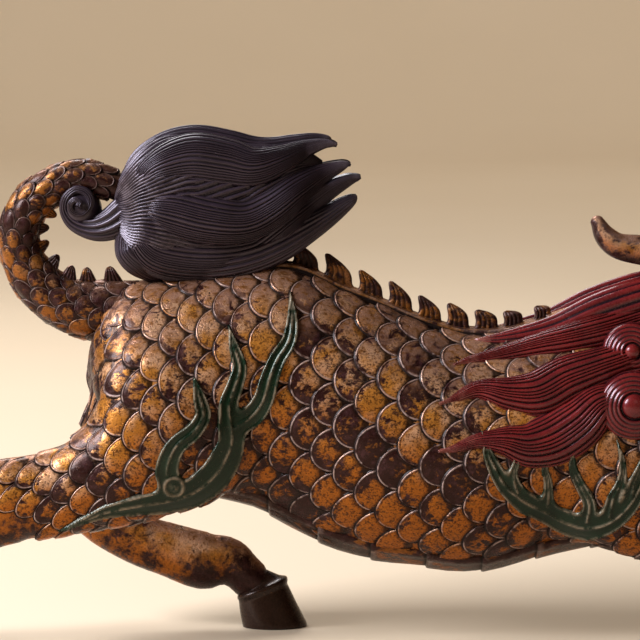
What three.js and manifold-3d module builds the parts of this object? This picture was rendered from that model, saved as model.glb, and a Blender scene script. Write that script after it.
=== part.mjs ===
import * as THREE from 'three';
import { mergeVertices } from 'three/addons/utils/BufferGeometryUtils.js';
import Module from 'manifold-3d';

// A galloping qilin, one bronze casting that stands on its four hooves.
// It faces +X, and its tail curls up over the rump.

// Driving dimensions, in millimetres.
const FIGURE_LENGTH = 320; // heel of the stretched hind hoof to the toe of the leading front hoof
const CREST_THICKNESS = 2.8; // fins along the back
const CREST_ROOT = 2.4; // how far each fin is rooted in the back
const RIDGE_WIDTH = 4.6; // smooth cord under the fins
const RIDGE_RISE = 0.9; // height of that cord over the back
const TOOTH_THICKNESS = 2.4; // teeth inside the tail's loop
const FLAME_RELIEF = 1.5; // height of the flames over the body
const FLAME_ROOT = 1.2; // depth of the flames' roots in the body
const LOCK_RELIEF = 3.2; // height of the widest mane lock over the body
const CURL_FURROW = 1.3; // depth of the winding furrow in each curl
const FANG_RADIUS = 1.5;
const FANG_LENGTH = 4.6;
const SOLE_TRIM = 0.4; // taken off below the hooves, so that each stands on a flat sole

// The free form is measured in shares of the figure's length. A row holds x and z,
// with z = 0 at the ground, then the half-height and half-width of the section there.
const SHARES_IN_LENGTH = 1078;
const SHARE = FIGURE_LENGTH / SHARES_IN_LENGTH;
const carved = (rows) => rows.map((row) => row.map((share) => share * SHARE));

const TRUNK = carved([
  [-243, 274, 44, 44], [-228, 274, 73, 62], [-200, 268, 92, 76], [-150, 259, 107, 85], [-80, 254, 123, 87],
  [-40, 242, 134, 88], [1, 223, 134, 92], [60, 204, 129, 99], [121, 190, 122, 101], [181, 197, 119, 99],
  [241, 212, 121, 95], [301, 217, 114, 87], [354, 214, 84, 66], [374, 212, 50, 42],
]);
const NECK = carved([[261, 230, 105, 80], [301, 255, 92, 70], [336, 288, 74, 58], [361, 316, 58, 50]]);

const LEG_PLACE = 58 * SHARE; // each leg's middle to the figure's middle plane
const NEAR_HIND_LEG = carved([
  [-123, 277, 59, 30], [-148, 247, 89, 43], [-176, 211, 87, 45], [-207, 184, 63, 43], [-242, 168, 50, 38],
  [-271, 158, 44, 33], [-296, 153, 43, 29], [-321, 149, 42, 27], [-342, 137, 40, 24], [-366, 119, 28, 19],
  [-401, 102, 20, 15], [-436, 90, 18, 14], [-463, 80, 22, 17], [-486, 70, 19, 15],
]);
const FAR_HIND_LEG = carved([
  [-126, 276, 61, 31], [-152, 245, 90, 45], [-188, 207, 77, 47], [-222, 172, 57, 39], [-246, 143, 41, 31],
  [-240, 116, 32, 24], [-206, 90, 27, 19], [-173, 78, 28, 18], [-139, 65, 32, 20], [-114, 60, 25, 17],
  [-98, 54, 22, 17], [-88, 50, 20, 16],
]);
const NEAR_FRONT_LEG = carved([
  [296, 247, 59, 28], [279, 213, 84, 41], [275, 173, 79, 43], [299, 143, 57, 40], [327, 130, 46, 34],
  [357, 124, 38, 28], [384, 119, 34, 25], [398, 105, 28, 22], [394, 86, 20, 16], [378, 70, 18, 14],
  [366, 54, 20, 16],
]);
const FAR_FRONT_LEG = carved([
  [296, 240, 61, 29], [297, 199, 82, 43], [317, 163, 67, 43], [353, 137, 51, 37], [384, 122, 41, 30],
  [415, 106, 34, 26], [439, 90, 24, 18], [463, 74, 18, 15], [484, 54, 20, 16],
]);

// Hooves: x and z of the middle of the sole, and how far the hoof is tipped onto its toe.
const NEAR_HIND_HOOF = { x: -521 * SHARE, z: 26 * SHARE, side: -1, tip: Math.PI / 3 };
const FAR_HIND_HOOF = { x: -67 * SHARE, z: 0, side: 1, tip: 0 };
const NEAR_FRONT_HOOF = { x: 387 * SHARE, z: 0, side: -1, tip: 0 };
const FAR_FRONT_HOOF = { x: 505 * SHARE, z: 0, side: 1, tip: 0 };

// One hoof from the sole up: a row holds the ring's middle x and z, the toe-ward half-axis
// in x and z, and the half-width. The coronet stands proud and slopes down to the heel.
const HOOF_RINGS = carved([
  [0, 0, 34, 0, 27], [-1, 5, 34, 1, 28], [-12, 37, 26, 9, 22], [-13, 41, 27, 10, 23], [-16, 47, 21, 9, 18],
  [-20, 56, 17, 8, 15],
]);

// Tail: x, z and radius along its middle line, from the rump to the tuft.
const TAIL = carved([
  [-189, 323, 36], [-221, 329, 32], [-255, 331, 30], [-282, 341, 26], [-306, 363, 24], [-319, 391, 21],
  [-318, 418, 21], [-306, 440, 21], [-285, 455, 20], [-259, 464, 19], [-234, 459, 18], [-209, 449, 17],
]);
const TEETH = { count: 9, first: 0.17, last: 0.70, length: 21 * SHARE, height: 17 * SHARE };
const TAIL_CURL = { x: -246 * SHARE, z: 434 * SHARE, y: 9 * SHARE, radius: 28 * SHARE, depth: 26 * SHARE };

const TUFT = carved([
  [-222, 432, 24, 20], [-209, 429, 52, 42], [-194, 432, 66, 52], [-174, 435, 76, 57], [-149, 438, 78, 58],
  [-124, 438, 76, 56], [-99, 440, 68, 52], [-74, 445, 60, 47], [-49, 451, 52, 41], [-29, 458, 40, 32],
  [-12, 462, 26, 22],
]);
const TUFT_FURROWS = { count: 11, depth: 0.07 }; // lengthwise furrows, deep as a share of the section
// Ends of the tuft's locks: the angle round the tuft, in half turns, where the lock leaves it,
// x and z of its tip, and the distance of the tip to the middle plane.
const TUFT_LOCKS = [
  { angle: 0.50, tip: [-9, 502], out: 0 },
  { angle: 0.30, tip: [0, 489], out: 20 },
  { angle: 0.10, tip: [15, 472], out: 27 },
  { angle: -0.12, tip: [11, 446], out: 26 },
];
const TUFT_LOCK_WIDTH = 19 * SHARE; // half-width of a lock where it leaves the tuft

const CREST = { count: 9, start: -55 * SHARE, end: 220 * SHARE, tallest: 24 * SHARE, lowest: 13 * SHARE };

// Mane locks on each side, from the neck to the tip: x, z and half-width.
const MANE_LOCKS = [
  carved([
    [306, 340, 19], [272, 333, 19], [233, 322, 18], [195, 311, 15], [156, 302, 10], [122, 297, 4],
  ]),
  carved([
    [284, 292, 18], [253, 282, 20], [224, 273, 24], [195, 259, 24], [166, 257, 18], [136, 262, 10],
    [102, 256, 4],
  ]),
  carved([
    [270, 250, 16], [252, 246, 20], [234, 229, 26], [210, 214, 26], [185, 208, 23], [161, 211, 15],
    [135, 212, 9], [102, 205, 4],
  ]),
];
const TOP_LOCK = carved([
  [330, 352, 24], [295, 344, 27], [256, 334, 25], [216, 322, 20], [177, 314, 14], [138, 313, 5],
]);
const TOP_LOCK_PLACE = 34 * SHARE; // middle of the upper locks to the middle plane
const MANE_CURLS = [
  { x: 283 * SHARE, z: 302 * SHARE, radius: 24 * SHARE },
  { x: 284 * SHARE, z: 251 * SHARE, radius: 28 * SHARE },
];

// Flames on each side, over shoulder and haunch: x, z and half-width.
const SHOULDER_FLAMES = [
  carved([
    [142, 216, 4], [148, 192, 6], [161, 167, 7], [181, 152, 8], [203, 142, 9], [223, 131, 9],
    [244, 127, 9], [270, 139, 8], [301, 180, 4],
  ]),
  carved([[178, 153, 7], [170, 178, 6], [166, 211, 3]]),
  carved([[200, 146, 7], [203, 172, 6], [207, 200, 3]]),
  carved([[244, 130, 7], [245, 155, 6], [228, 201, 4]]),
  carved([[264, 138, 7], [272, 172, 6], [271, 212, 3]]),
];
const HAUNCH_FLAMES = [
  carved([[-49, 349, 3], [-47, 322, 7], [-61, 292, 8], [-71, 260, 9], [-84, 240, 10], [-108, 225, 9]]),
  carved([[-109, 320, 3], [-98, 284, 7], [-108, 250, 9], [-106, 214, 11], [-117, 184, 12], [-136, 166, 12],
    [-160, 155, 12], [-206, 147, 10], [-244, 134, 7], [-272, 122, 4]]),
  carved([[-142, 269, 3], [-136, 238, 8], [-160, 209, 8], [-171, 186, 10], [-172, 164, 10]]),
];
const HAUNCH_KNOB = { x: -161 * SHARE, z: 171 * SHARE, radius: 10 * SHARE };

// Head: the skull and muzzle, the lower jaw and the horn, with rows as in the trunk.
const SKULL = carved([
  [318, 312, 30, 30], [336, 318, 50, 43], [360, 323, 57, 50], [384, 320, 54, 49], [406, 316, 46, 44],
  [430, 310, 37, 40], [462, 307, 31, 36], [492, 309, 28, 35], [510, 309, 20, 27],
]);
const JAW = carved([
  [345, 272, 26, 34], [372, 255, 20, 32], [404, 244, 16, 30], [440, 240, 14, 27],
  [470, 243, 13, 24], [484, 247, 9, 17],
]);
const TONGUE = carved([[396, 262, 8, 14], [430, 258, 7, 15], [458, 262, 6, 12], [472, 268, 4, 7]]);
const HORN = carved([
  [256, 420, 9], [263, 406, 12], [278, 395, 14], [300, 390, 15], [334, 386, 17], [366, 370, 20],
  [384, 352, 22],
]);
const EYE = { x: 414 * SHARE, z: 331 * SHARE, y: 35 * SHARE, radius: 14 * SHARE };
const NOSTRIL = { x: 498 * SHARE, z: 324 * SHARE, y: 17 * SHARE, radius: 14 * SHARE };
const CHEEK = { x: 372 * SHARE, z: 288 * SHARE, y: 34 * SHARE, radius: 26 * SHARE };
const FANGS = [
  { x: 478 * SHARE, y: 26 * SHARE, z: 281 * SHARE, way: -1 },
  { x: 462 * SHARE, y: 22 * SHARE, z: 257 * SHARE, way: 1 },
];
// Free locks on the head: x, z, distance to the middle plane and half-width.
const BROW = carved([[438, 330, 27, 6], [424, 348, 33, 9], [396, 358, 37, 11], [346, 384, 50, 3]]);
const EAR = carved([[352, 322, 44, 9], [338, 326, 52, 13], [318, 325, 60, 11], [299, 321, 67, 3]]);
const WHISKER = carved([[452, 292, 33, 6], [428, 276, 42, 8], [400, 272, 50, 8], [360, 262, 58, 3]]);
const BEARD = [
  carved([[430, 236, 8, 12], [388, 218, 24, 15], [344, 184, 48, 4]]),
  carved([[462, 236, 0, 13], [440, 214, 0, 16], [414, 196, 0, 12], [390, 170, 0, 4]]),
  carved([[372, 250, 26, 15], [340, 230, 50, 18], [306, 190, 78, 4]]),
];

// How finely each kind of form is faceted: points round it and steps between two rows.
const BODY_FACETS = { round: 24, steps: 1 };
const LEG_FACETS = { round: 10, steps: 1 };
const TAIL_FACETS = { round: 10, steps: 1 };
const LOCK_FACETS = { round: 6, steps: 1 };
const FLAME_FACETS = { round: 3, steps: 1 };
const CURL_FACETS = 10;
const BALL_FACETS = 8;

const wasm = await Module();
wasm.setup();

const SIDEWAYS = new THREE.Vector3(0, 1, 0);
const UPWARDS = new THREE.Vector3(0, 0, 1);

// Closes a row of rings, each turning right-handed about the way on, between two end points.
function skin(rings, start, end) {
  const round = rings[0].length;
  const points = [start, ...rings.flat(), end];
  const corner = (ring, k) => 1 + ring * round + (k % round);
  const index = [];
  for (let k = 0; k < round; k += 1) {
    index.push(0, corner(0, k + 1), corner(0, k));
    for (let ring = 0; ring + 1 < rings.length; ring += 1) {
      index.push(corner(ring, k), corner(ring, k + 1), corner(ring + 1, k));
      index.push(corner(ring, k + 1), corner(ring + 1, k + 1), corner(ring + 1, k));
    }
    index.push(points.length - 1, corner(rings.length - 1, k), corner(rings.length - 1, k + 1));
  }
  const geometry = new THREE.BufferGeometry().setFromPoints(points);
  geometry.setIndex(index);
  return geometry;
}

// Smooth rows of numbers: each column runs through its own values.
function smoothRows(rows, steps) {
  const pieces = [];
  for (let first = 0; first < rows[0].length; first += 3) {
    const knots = rows.map(
      (row) => new THREE.Vector3(row[first], row[first + 1] ?? 0, row[first + 2] ?? 0),
    );
    pieces.push(new THREE.CatmullRomCurve3(knots, false, 'catmullrom', 0.5));
  }
  const count = (rows.length - 1) * steps;
  const at = (share) => pieces.flatMap((piece) => piece.getPoint(share).toArray());
  return Array.from({ length: count + 1 }, (_, i) => at(i / count));
}

// Way along a line of points at one of them.
function heading(points, i) {
  const before = points[Math.max(i - 1, 0)];
  const after = points[Math.min(i + 1, points.length - 1)];
  return after.clone().sub(before).normalize();
}

// One ring round a middle, spanned by two half-axes.
function ring(middle, across, up, round) {
  const first = round === 3 ? Math.PI / 2 : 0;
  return Array.from({ length: round }, (_, k) => {
    const turn = first + (2 * Math.PI * k) / round;
    return middle.clone().addScaledVector(across, Math.cos(turn)).addScaledVector(up, Math.sin(turn));
  });
}

// Rounded form along a line of middles. Each middle has two half-axes, and each end is drawn
// out by a share of the smaller one.
function sweep(middles, axes, round, drawnOut = 0.5) {
  const rings = middles.map((middle, i) => ring(middle, axes[i].across, axes[i].up, round));
  const last = middles.length - 1;
  const reach = (i) => drawnOut * Math.min(axes[i].across.length(), axes[i].up.length());
  const start = middles[0].clone().addScaledVector(heading(middles, 0), -reach(0));
  const end = middles[last].clone().addScaledVector(heading(middles, last), reach(last));
  return skin(rings, start, end);
}

// Form with upright sections, such as the trunk.
function uprightForm(rows, facets, y = 0) {
  const stations = smoothRows(rows, facets.steps);
  const middles = stations.map(([x, z]) => new THREE.Vector3(x, y, z));
  const axes = stations.map(([, , up, side]) => ({
    across: SIDEWAYS.clone().multiplyScalar(side),
    up: UPWARDS.clone().multiplyScalar(up),
  }));
  return sweep(middles, axes, facets.round);
}

// Form whose sections stand square to its middle line, such as a leg.
function bentForm(rows, facets, y = 0) {
  const stations = smoothRows(rows, facets.steps);
  const middles = stations.map(([x, z]) => new THREE.Vector3(x, y, z));
  const axes = stations.map(([, , up, side], i) => ({
    across: SIDEWAYS.clone().multiplyScalar(side ?? up),
    up: heading(middles, i).cross(SIDEWAYS).multiplyScalar(up),
  }));
  return sweep(middles, axes, facets.round);
}

function hoof({ x, z, side, tip }) {
  const toePlace = new THREE.Vector3(x, side * LEG_PLACE, z);
  const place = (localX, localZ) => new THREE.Vector3(localX, 0, localZ).applyAxisAngle(SIDEWAYS, tip);
  const middles = HOOF_RINGS.map(([localX, localZ]) => place(localX, localZ - SOLE_TRIM).add(toePlace));
  const rings = HOOF_RINGS.map(([, , axisX, axisZ, width], i) => (
    ring(middles[i], place(axisX, axisZ), SIDEWAYS.clone().multiplyScalar(width), LEG_FACETS.round)
  ));
  return skin(rings, middles[0], middles[middles.length - 1]);
}

// Point of a closed form where a sideways ray meets it, and the way out of the form there.
function surfaceOf(forms) {
  const meshes = forms.map((form) => {
    const geometry = form.clone();
    geometry.computeVertexNormals();
    return new THREE.Mesh(geometry);
  });
  const ray = new THREE.Raycaster();
  return (x, z, side) => {
    ray.set(new THREE.Vector3(x, side * FIGURE_LENGTH, z), new THREE.Vector3(0, -side, 0));
    const [hit] = ray.intersectObjects(meshes);
    if (!hit) {
      throw new Error(`no surface at x ${x.toFixed(1)}, z ${z.toFixed(1)}`);
    }
    const out = hit.normal.clone().add(new THREE.Vector3(0, side, 0)).normalize();
    return { point: hit.point, out };
  };
}

// Band laid on a surface: rows of x, z and half-width, with its height over the surface and
// the depth of its root as functions of the half-width.
function laidBand(surface, rows, side, facets, rise, root) {
  const stations = smoothRows(rows, facets.steps);
  const spots = stations.map(([x, z]) => surface(x, z, side));
  const feet = spots.map(({ point }) => point);
  const middles = stations.map(([, , width], i) => (
    feet[i].clone().addScaledVector(spots[i].out, (rise(width) - root(width)) / 2)
  ));
  const axes = stations.map(([, , width], i) => {
    const way = heading(feet, i);
    const across = spots[i].out.clone().cross(way).normalize();
    const up = way.clone().cross(across);
    return {
      across: across.multiplyScalar(width),
      up: up.multiplyScalar((rise(width) + root(width)) / 2),
    };
  });
  return sweep(middles, axes, facets.round);
}

// Free lock or whisker: rows of x, z, distance to the middle plane and half-width.
function freeLock(rows, side, flatness = 0.6) {
  const knots = rows.map(([x, z, out, width]) => [x, side * out, z, width]);
  const stations = smoothRows(knots, LOCK_FACETS.steps);
  const middles = stations.map(([x, y, z]) => new THREE.Vector3(x, y, z));
  const axes = stations.map(([, , , width], i) => {
    const way = heading(middles, i);
    const across = SIDEWAYS.clone().cross(way).normalize();
    return {
      across: across.clone().multiplyScalar(width),
      up: way.clone().cross(across).multiplyScalar(width * flatness),
    };
  });
  return sweep(middles, axes, LOCK_FACETS.round);
}

// Hair curl: a dome with one furrow that winds from its rim to its eye. hand is 1 or -1.
function curl(middle, out, radius, depth, hand) {
  const across = out.clone().cross(UPWARDS).normalize();
  const up = out.clone().cross(across);
  const spot = (share, turn, lift) => middle.clone()
    .addScaledVector(across, radius * share * Math.cos(turn))
    .addScaledVector(up, radius * share * Math.sin(turn))
    .addScaledVector(out, depth * Math.sqrt(1 - share * share) + lift);
  const spiral = (share, nextShare, lift) => Array.from({ length: CURL_FACETS }, (_, k) => {
    const wound = (hand > 0 ? k : CURL_FACETS - k) / CURL_FACETS;
    return spot(THREE.MathUtils.lerp(share, nextShare, wound), (2 * Math.PI * k) / CURL_FACETS, lift);
  });
  const root = ring(
    middle.clone().addScaledVector(out, -depth),
    across.clone().multiplyScalar(radius * 0.7),
    up.clone().multiplyScalar(radius * 0.7),
    CURL_FACETS,
  );
  const rings = [
    root, spiral(1, 1, 0), spiral(0.86, 0.62, 0), spiral(0.68, 0.42, -CURL_FURROW), spiral(0.5, 0.24, 0),
  ];
  return skin(rings, middle.clone().addScaledVector(out, -1.2 * depth), spot(0, 0, -CURL_FURROW));
}

// Fin with an upright, hollow edge on the tail's side, a round tip and a full slope headward.
function fin({ length, height, root, thickness, place, slope }) {
  const outline = new THREE.Shape();
  outline.moveTo(0, -root);
  outline.lineTo(0.02 * length, 0);
  outline.quadraticCurveTo(0.2 * length, 0.5 * height, 0.13 * length, 0.93 * height);
  outline.quadraticCurveTo(0.26 * length, 1.12 * height, 0.42 * length, 0.88 * height);
  outline.quadraticCurveTo(0.62 * length, 0.62 * height, 0.95 * length, 0.08 * height);
  outline.lineTo(length, -root);
  const extrusion = { depth: thickness, bevelEnabled: false, curveSegments: 2 };
  const plate = new THREE.ExtrudeGeometry(outline, extrusion);
  plate.translate(0, 0, -thickness / 2);
  plate.rotateX(Math.PI / 2);
  plate.rotateY(slope);
  plate.translate(place.x, 0, place.z);
  return plate;
}

// Middle line of the back, as the trunk's top runs.
function backLine(x) {
  const after = TRUNK.findIndex((row) => row[0] > x);
  const [x0, z0, up0] = TRUNK[after - 1];
  const [x1, z1, up1] = TRUNK[after];
  return THREE.MathUtils.lerp(z0 + up0, z1 + up1, (x - x0) / (x1 - x0));
}

function crest() {
  const { count, start, end, tallest, lowest } = CREST;
  const pitch = (end - start) / count;
  const fins = Array.from({ length: count }, (_, i) => {
    const x = start + i * pitch;
    const z = backLine(x);
    const slope = Math.atan2(z - backLine(x + pitch), pitch);
    const height = THREE.MathUtils.lerp(tallest, lowest, i / (count - 1));
    return fin({
      length: pitch, height, root: CREST_ROOT, thickness: CREST_THICKNESS, place: { x, z }, slope,
    });
  });
  const cord = Array.from({ length: count + 4 }, (_, i) => start + (i - 2) * pitch)
    .map((x) => [x, backLine(x), RIDGE_RISE, RIDGE_WIDTH / 2]);
  return [...fins, uprightForm(cord, { round: 6, steps: 1 })];
}

// Teeth on the inner side of the tail's loop, set evenly along it.
function tailTeeth() {
  const line = new THREE.CatmullRomCurve3(TAIL.map(([x, z]) => new THREE.Vector3(x, 0, z)));
  const radii = smoothRows(TAIL, 8).map((row) => row[2]);
  const { count, first, last, length, height } = TEETH;
  return Array.from({ length: count }, (_, i) => {
    const share = THREE.MathUtils.lerp(first, last, i / (count - 1));
    const t = line.getUtoTmapping(share);
    const way = line.getTangent(t);
    const radius = radii[Math.round(t * (radii.length - 1))];
    const inward = new THREE.Vector3(way.z, 0, -way.x);
    const foot = line.getPoint(t).addScaledVector(inward, radius * 0.94).addScaledVector(way, length / 2);
    const slope = Math.atan2(way.z, -way.x);
    return fin({ length, height, root: radius * 0.3, thickness: TOOTH_THICKNESS, place: foot, slope });
  });
}

// Tuft of hair that lies on the rump: a full body and flat locks that part at its end.
function tuft() {
  const { count, depth } = TUFT_FURROWS;
  const round = 2 * count;
  const rings = TUFT.map(([x, z, up, side], i) => {
    const furrow = depth * Math.min(i / 3, 1);
    return Array.from({ length: round }, (_, k) => {
      const turn = (2 * Math.PI * k) / round;
      const swell = k % 2 === 0 ? 1 : 1 - furrow;
      return new THREE.Vector3(x, side * swell * Math.cos(turn), z + up * swell * Math.sin(turn));
    });
  });
  const [x, z] = TUFT[TUFT.length - 1];
  const body = skin(rings, new THREE.Vector3(TUFT[0][0], 0, TUFT[0][1]), new THREE.Vector3(x, 0, z));
  const bearers = TUFT.slice(-4, -1);
  const locks = TUFT_LOCKS.flatMap(({ angle, tip, out }) => {
    const turn = Math.PI * angle;
    const rows = bearers.map(([atX, atZ, up, half], i) => (
      [atX, atZ + 0.8 * up * Math.sin(turn), 0.8 * half * Math.cos(turn), TUFT_LOCK_WIDTH * (1 - 0.12 * i)]
    ));
    rows.push([tip[0] * SHARE, tip[1] * SHARE, out * SHARE, TUFT_LOCK_WIDTH * 0.25]);
    const sides = out === 0 ? [1] : [1, -1];
    return sides.map((side) => freeLock(rows, side, 0.75));
  });
  return [body, ...locks];
}

function tailCurls() {
  const { x, z, y, radius, depth } = TAIL_CURL;
  return [-1, 1].map((side) => (
    curl(new THREE.Vector3(x, side * y, z), new THREE.Vector3(0, side, 0), radius, depth, side)
  ));
}

function mane(surface, side) {
  const rise = (width) => LOCK_RELIEF * Math.min(width / (20 * SHARE), 1);
  const root = (width) => 0.3 * width;
  const locks = MANE_LOCKS.map((rows) => laidBand(surface, rows, side, LOCK_FACETS, rise, root));
  const top = freeLock(TOP_LOCK.map(([x, z, width]) => [x, z, TOP_LOCK_PLACE, width]), side);
  const curls = MANE_CURLS.map(({ x, z, radius }) => {
    const { point, out } = surface(x, z, side);
    return curl(point.addScaledVector(out, LOCK_RELIEF / 2), out, radius, radius * 0.5, side);
  });
  return [...locks, top, ...curls];
}

function flames(surface, side) {
  const rise = () => FLAME_RELIEF;
  const root = () => FLAME_ROOT;
  const bands = [...SHOULDER_FLAMES, ...HAUNCH_FLAMES]
    .map((rows) => laidBand(surface, rows, side, FLAME_FACETS, rise, root));
  const knobSpot = surface(HAUNCH_KNOB.x, HAUNCH_KNOB.z, side).point;
  return [...bands, ball({ ...HAUNCH_KNOB, y: Math.abs(knobSpot.y) }, side)];
}

function ball({ x, y, z, radius }, side) {
  return new THREE.SphereGeometry(radius, BALL_FACETS, BALL_FACETS / 2).translate(x, side * y, z);
}

function fang({ x, y, z, way }, side) {
  const tooth = new THREE.ConeGeometry(FANG_RADIUS, FANG_LENGTH, 6);
  tooth.rotateX((way * Math.PI) / 2);
  return tooth.translate(x, side * y, z);
}

function head() {
  const middle = [
    bentForm(SKULL, { round: 12, steps: 1 }),
    bentForm(JAW, LOCK_FACETS),
    bentForm(TONGUE, { round: 6, steps: 1 }),
    bentForm(HORN, { round: 8, steps: 1 }),
    freeLock(BEARD[1], 1, 0.8),
  ];
  const pairs = [1, -1].flatMap((side) => [
    ball(EYE, side),
    ball(NOSTRIL, side),
    ball(CHEEK, side),
    freeLock(BROW, side, 0.8),
    freeLock(EAR, side, 0.5),
    freeLock(WHISKER, side, 0.8),
    freeLock(BEARD[0], side, 0.8),
    freeLock(BEARD[2], side, 0.8),
    ...FANGS.map((tooth) => fang(tooth, side)),
  ]);
  return [...middle, ...pairs];
}

function solid(geometry) {
  const bare = geometry.clone();
  bare.deleteAttribute('normal');
  bare.deleteAttribute('uv');
  const merged = mergeVertices(bare, 1e-4);
  return new wasm.Manifold(new wasm.Mesh({
    numProp: 3,
    vertProperties: Float32Array.from(merged.attributes.position.array),
    triVerts: Uint32Array.from(merged.index.array),
  }));
}

// Joins forms into one casting, flat under the soles.
function cast(forms) {
  const joined = forms.map(solid).reduce((sum, form) => sum.add(form));
  const ground = new THREE.BoxGeometry(2 * FIGURE_LENGTH, FIGURE_LENGTH, FIGURE_LENGTH);
  ground.translate(0, 0, -FIGURE_LENGTH / 2);
  const [casting] = joined.subtract(solid(ground)).decompose().sort((a, b) => b.volume() - a.volume());
  return casting;
}

function geometryOf(casting) {
  const mesh = casting.getMesh();
  const geometry = new THREE.BufferGeometry();
  geometry.setAttribute('position', new THREE.BufferAttribute(Float32Array.from(mesh.vertProperties), 3));
  geometry.setIndex(new THREE.BufferAttribute(Uint32Array.from(mesh.triVerts), 1));
  return geometry;
}

const bareBody = [
  uprightForm(TRUNK, BODY_FACETS),
  bentForm(NECK, { round: 14, steps: 1 }),
  bentForm(NEAR_HIND_LEG, LEG_FACETS, -LEG_PLACE),
  bentForm(FAR_HIND_LEG, LEG_FACETS, LEG_PLACE),
  bentForm(NEAR_FRONT_LEG, LEG_FACETS, -LEG_PLACE),
  bentForm(FAR_FRONT_LEG, LEG_FACETS, LEG_PLACE),
];
const bodySurface = surfaceOf(bareBody);
const casting = cast([
  ...bareBody,
  ...[NEAR_HIND_HOOF, FAR_HIND_HOOF, NEAR_FRONT_HOOF, FAR_FRONT_HOOF].map(hoof),
  bentForm(TAIL, TAIL_FACETS),
  ...tailTeeth(),
  ...tailCurls(),
  ...tuft(),
  ...crest(),
  ...[-1, 1].flatMap((side) => [...mane(bodySurface, side), ...flames(bodySurface, side)]),
  ...head(),
]);

const figure = geometryOf(casting);
figure.computeBoundingBox();
const middle = figure.boundingBox.getCenter(new THREE.Vector3());
figure.translate(-middle.x, -middle.y, 0);
figure.computeVertexNormals();

const bronze = new THREE.MeshStandardMaterial({ color: 0x7a4a1e, roughness: 0.35, metalness: 0.85 });
const qilin = new THREE.Mesh(figure, bronze);
qilin.name = 'qilin';

const group = new THREE.Group();
group.add(qilin);

export default group;
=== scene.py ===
import math

import bpy
import numpy as np
import openvdb
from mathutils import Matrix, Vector
from mathutils.bvhtree import BVHTree


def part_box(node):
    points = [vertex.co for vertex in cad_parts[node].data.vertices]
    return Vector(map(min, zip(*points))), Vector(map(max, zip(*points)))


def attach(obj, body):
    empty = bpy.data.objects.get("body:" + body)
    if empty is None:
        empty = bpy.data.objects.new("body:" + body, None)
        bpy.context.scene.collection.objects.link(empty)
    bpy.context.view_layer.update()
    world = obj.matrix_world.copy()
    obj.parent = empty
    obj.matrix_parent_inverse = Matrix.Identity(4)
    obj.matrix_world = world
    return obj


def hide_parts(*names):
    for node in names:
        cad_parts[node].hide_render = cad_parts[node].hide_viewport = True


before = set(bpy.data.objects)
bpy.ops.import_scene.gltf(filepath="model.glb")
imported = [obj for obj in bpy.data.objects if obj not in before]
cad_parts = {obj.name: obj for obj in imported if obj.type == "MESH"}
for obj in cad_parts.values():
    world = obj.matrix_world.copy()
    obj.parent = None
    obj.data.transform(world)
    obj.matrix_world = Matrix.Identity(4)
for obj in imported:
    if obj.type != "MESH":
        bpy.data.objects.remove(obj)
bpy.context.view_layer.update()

# Lengths are shares of the figure's length, as the carver would lay them out: x from its
# middle towards the head, z up from the ground, y from its middle plane.
SHARES_IN_LENGTH = 1078
CAD_LOW, CAD_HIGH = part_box("qilin")
SHARE = (CAD_HIGH.x - CAD_LOW.x) / SHARES_IN_LENGTH

# Body forms: x, z, half-height and half-width.
TRUNK = [
    (-250, 268, 12, 12), (-243, 274, 44, 44), (-228, 274, 73, 62), (-200, 268, 92, 76),
    (-160, 260, 105, 84), (-115, 257, 115, 87), (-80, 254, 123, 87), (-40, 242, 134, 88),
    (1, 223, 134, 92), (41, 210, 131, 97), (81, 199, 125, 100), (121, 190, 122, 101),
    (161, 192, 120, 100), (201, 202, 119, 98), (241, 212, 121, 95), (281, 216, 118, 90),
    (322, 216, 108, 82), (354, 214, 84, 66), (374, 212, 50, 42), (382, 210, 12, 12),
]
NECK = [(261, 230, 105, 80), (301, 255, 92, 70), (336, 288, 74, 58), (361, 316, 58, 50),
        (372, 329, 40, 36)]
LEG_PLACE = 58  # each leg's middle to the middle plane
NEAR_HIND_LEG = [
    (-123, 277, 59, 30), (-148, 247, 89, 43), (-176, 211, 87, 45), (-207, 184, 63, 43),
    (-242, 168, 50, 38), (-271, 158, 44, 33), (-296, 153, 43, 29), (-321, 149, 42, 27),
    (-342, 137, 40, 24), (-366, 119, 28, 19), (-401, 102, 20, 15), (-436, 90, 18, 14),
    (-463, 80, 22, 17), (-486, 70, 19, 15),
]
FAR_HIND_LEG = [
    (-126, 276, 61, 31), (-152, 245, 90, 45), (-188, 207, 77, 47), (-222, 172, 57, 39),
    (-246, 143, 41, 31), (-240, 116, 32, 24), (-206, 90, 27, 19), (-173, 78, 28, 18),
    (-139, 67, 30, 20), (-122, 69, 25, 17), (-110, 66, 23, 17), (-101, 57.5, 21, 16.5), (-93, 49.5, 21, 16.5),
    (-84, 41, 20, 16),
]
NEAR_FRONT_LEG = [
    (296, 247, 59, 28), (279, 213, 84, 41), (275, 173, 79, 43), (299, 143, 57, 40),
    (327, 130, 46, 34), (357, 124, 38, 28), (384, 119, 34, 25), (398, 105, 28, 22),
    (394, 86, 20, 16), (378, 70, 18, 14), (366, 54, 20, 16),
]
FAR_FRONT_LEG = [
    (296, 240, 61, 29), (297, 199, 82, 43), (317, 163, 67, 43), (353, 137, 51, 37),
    (384, 122, 41, 30), (415, 106, 34, 26), (439, 90, 24, 18), (463, 74, 18, 15), (484, 54, 20, 16),
]
# Hooves: x and z of the middle of the sole, side, and how far the hoof is tipped onto its toe.
HOOVES = [(-521, 26, -1, math.pi / 3), (-67, 0, 1, 0), (387, 0, -1, 0), (505, 0, 1, 0)]

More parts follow.
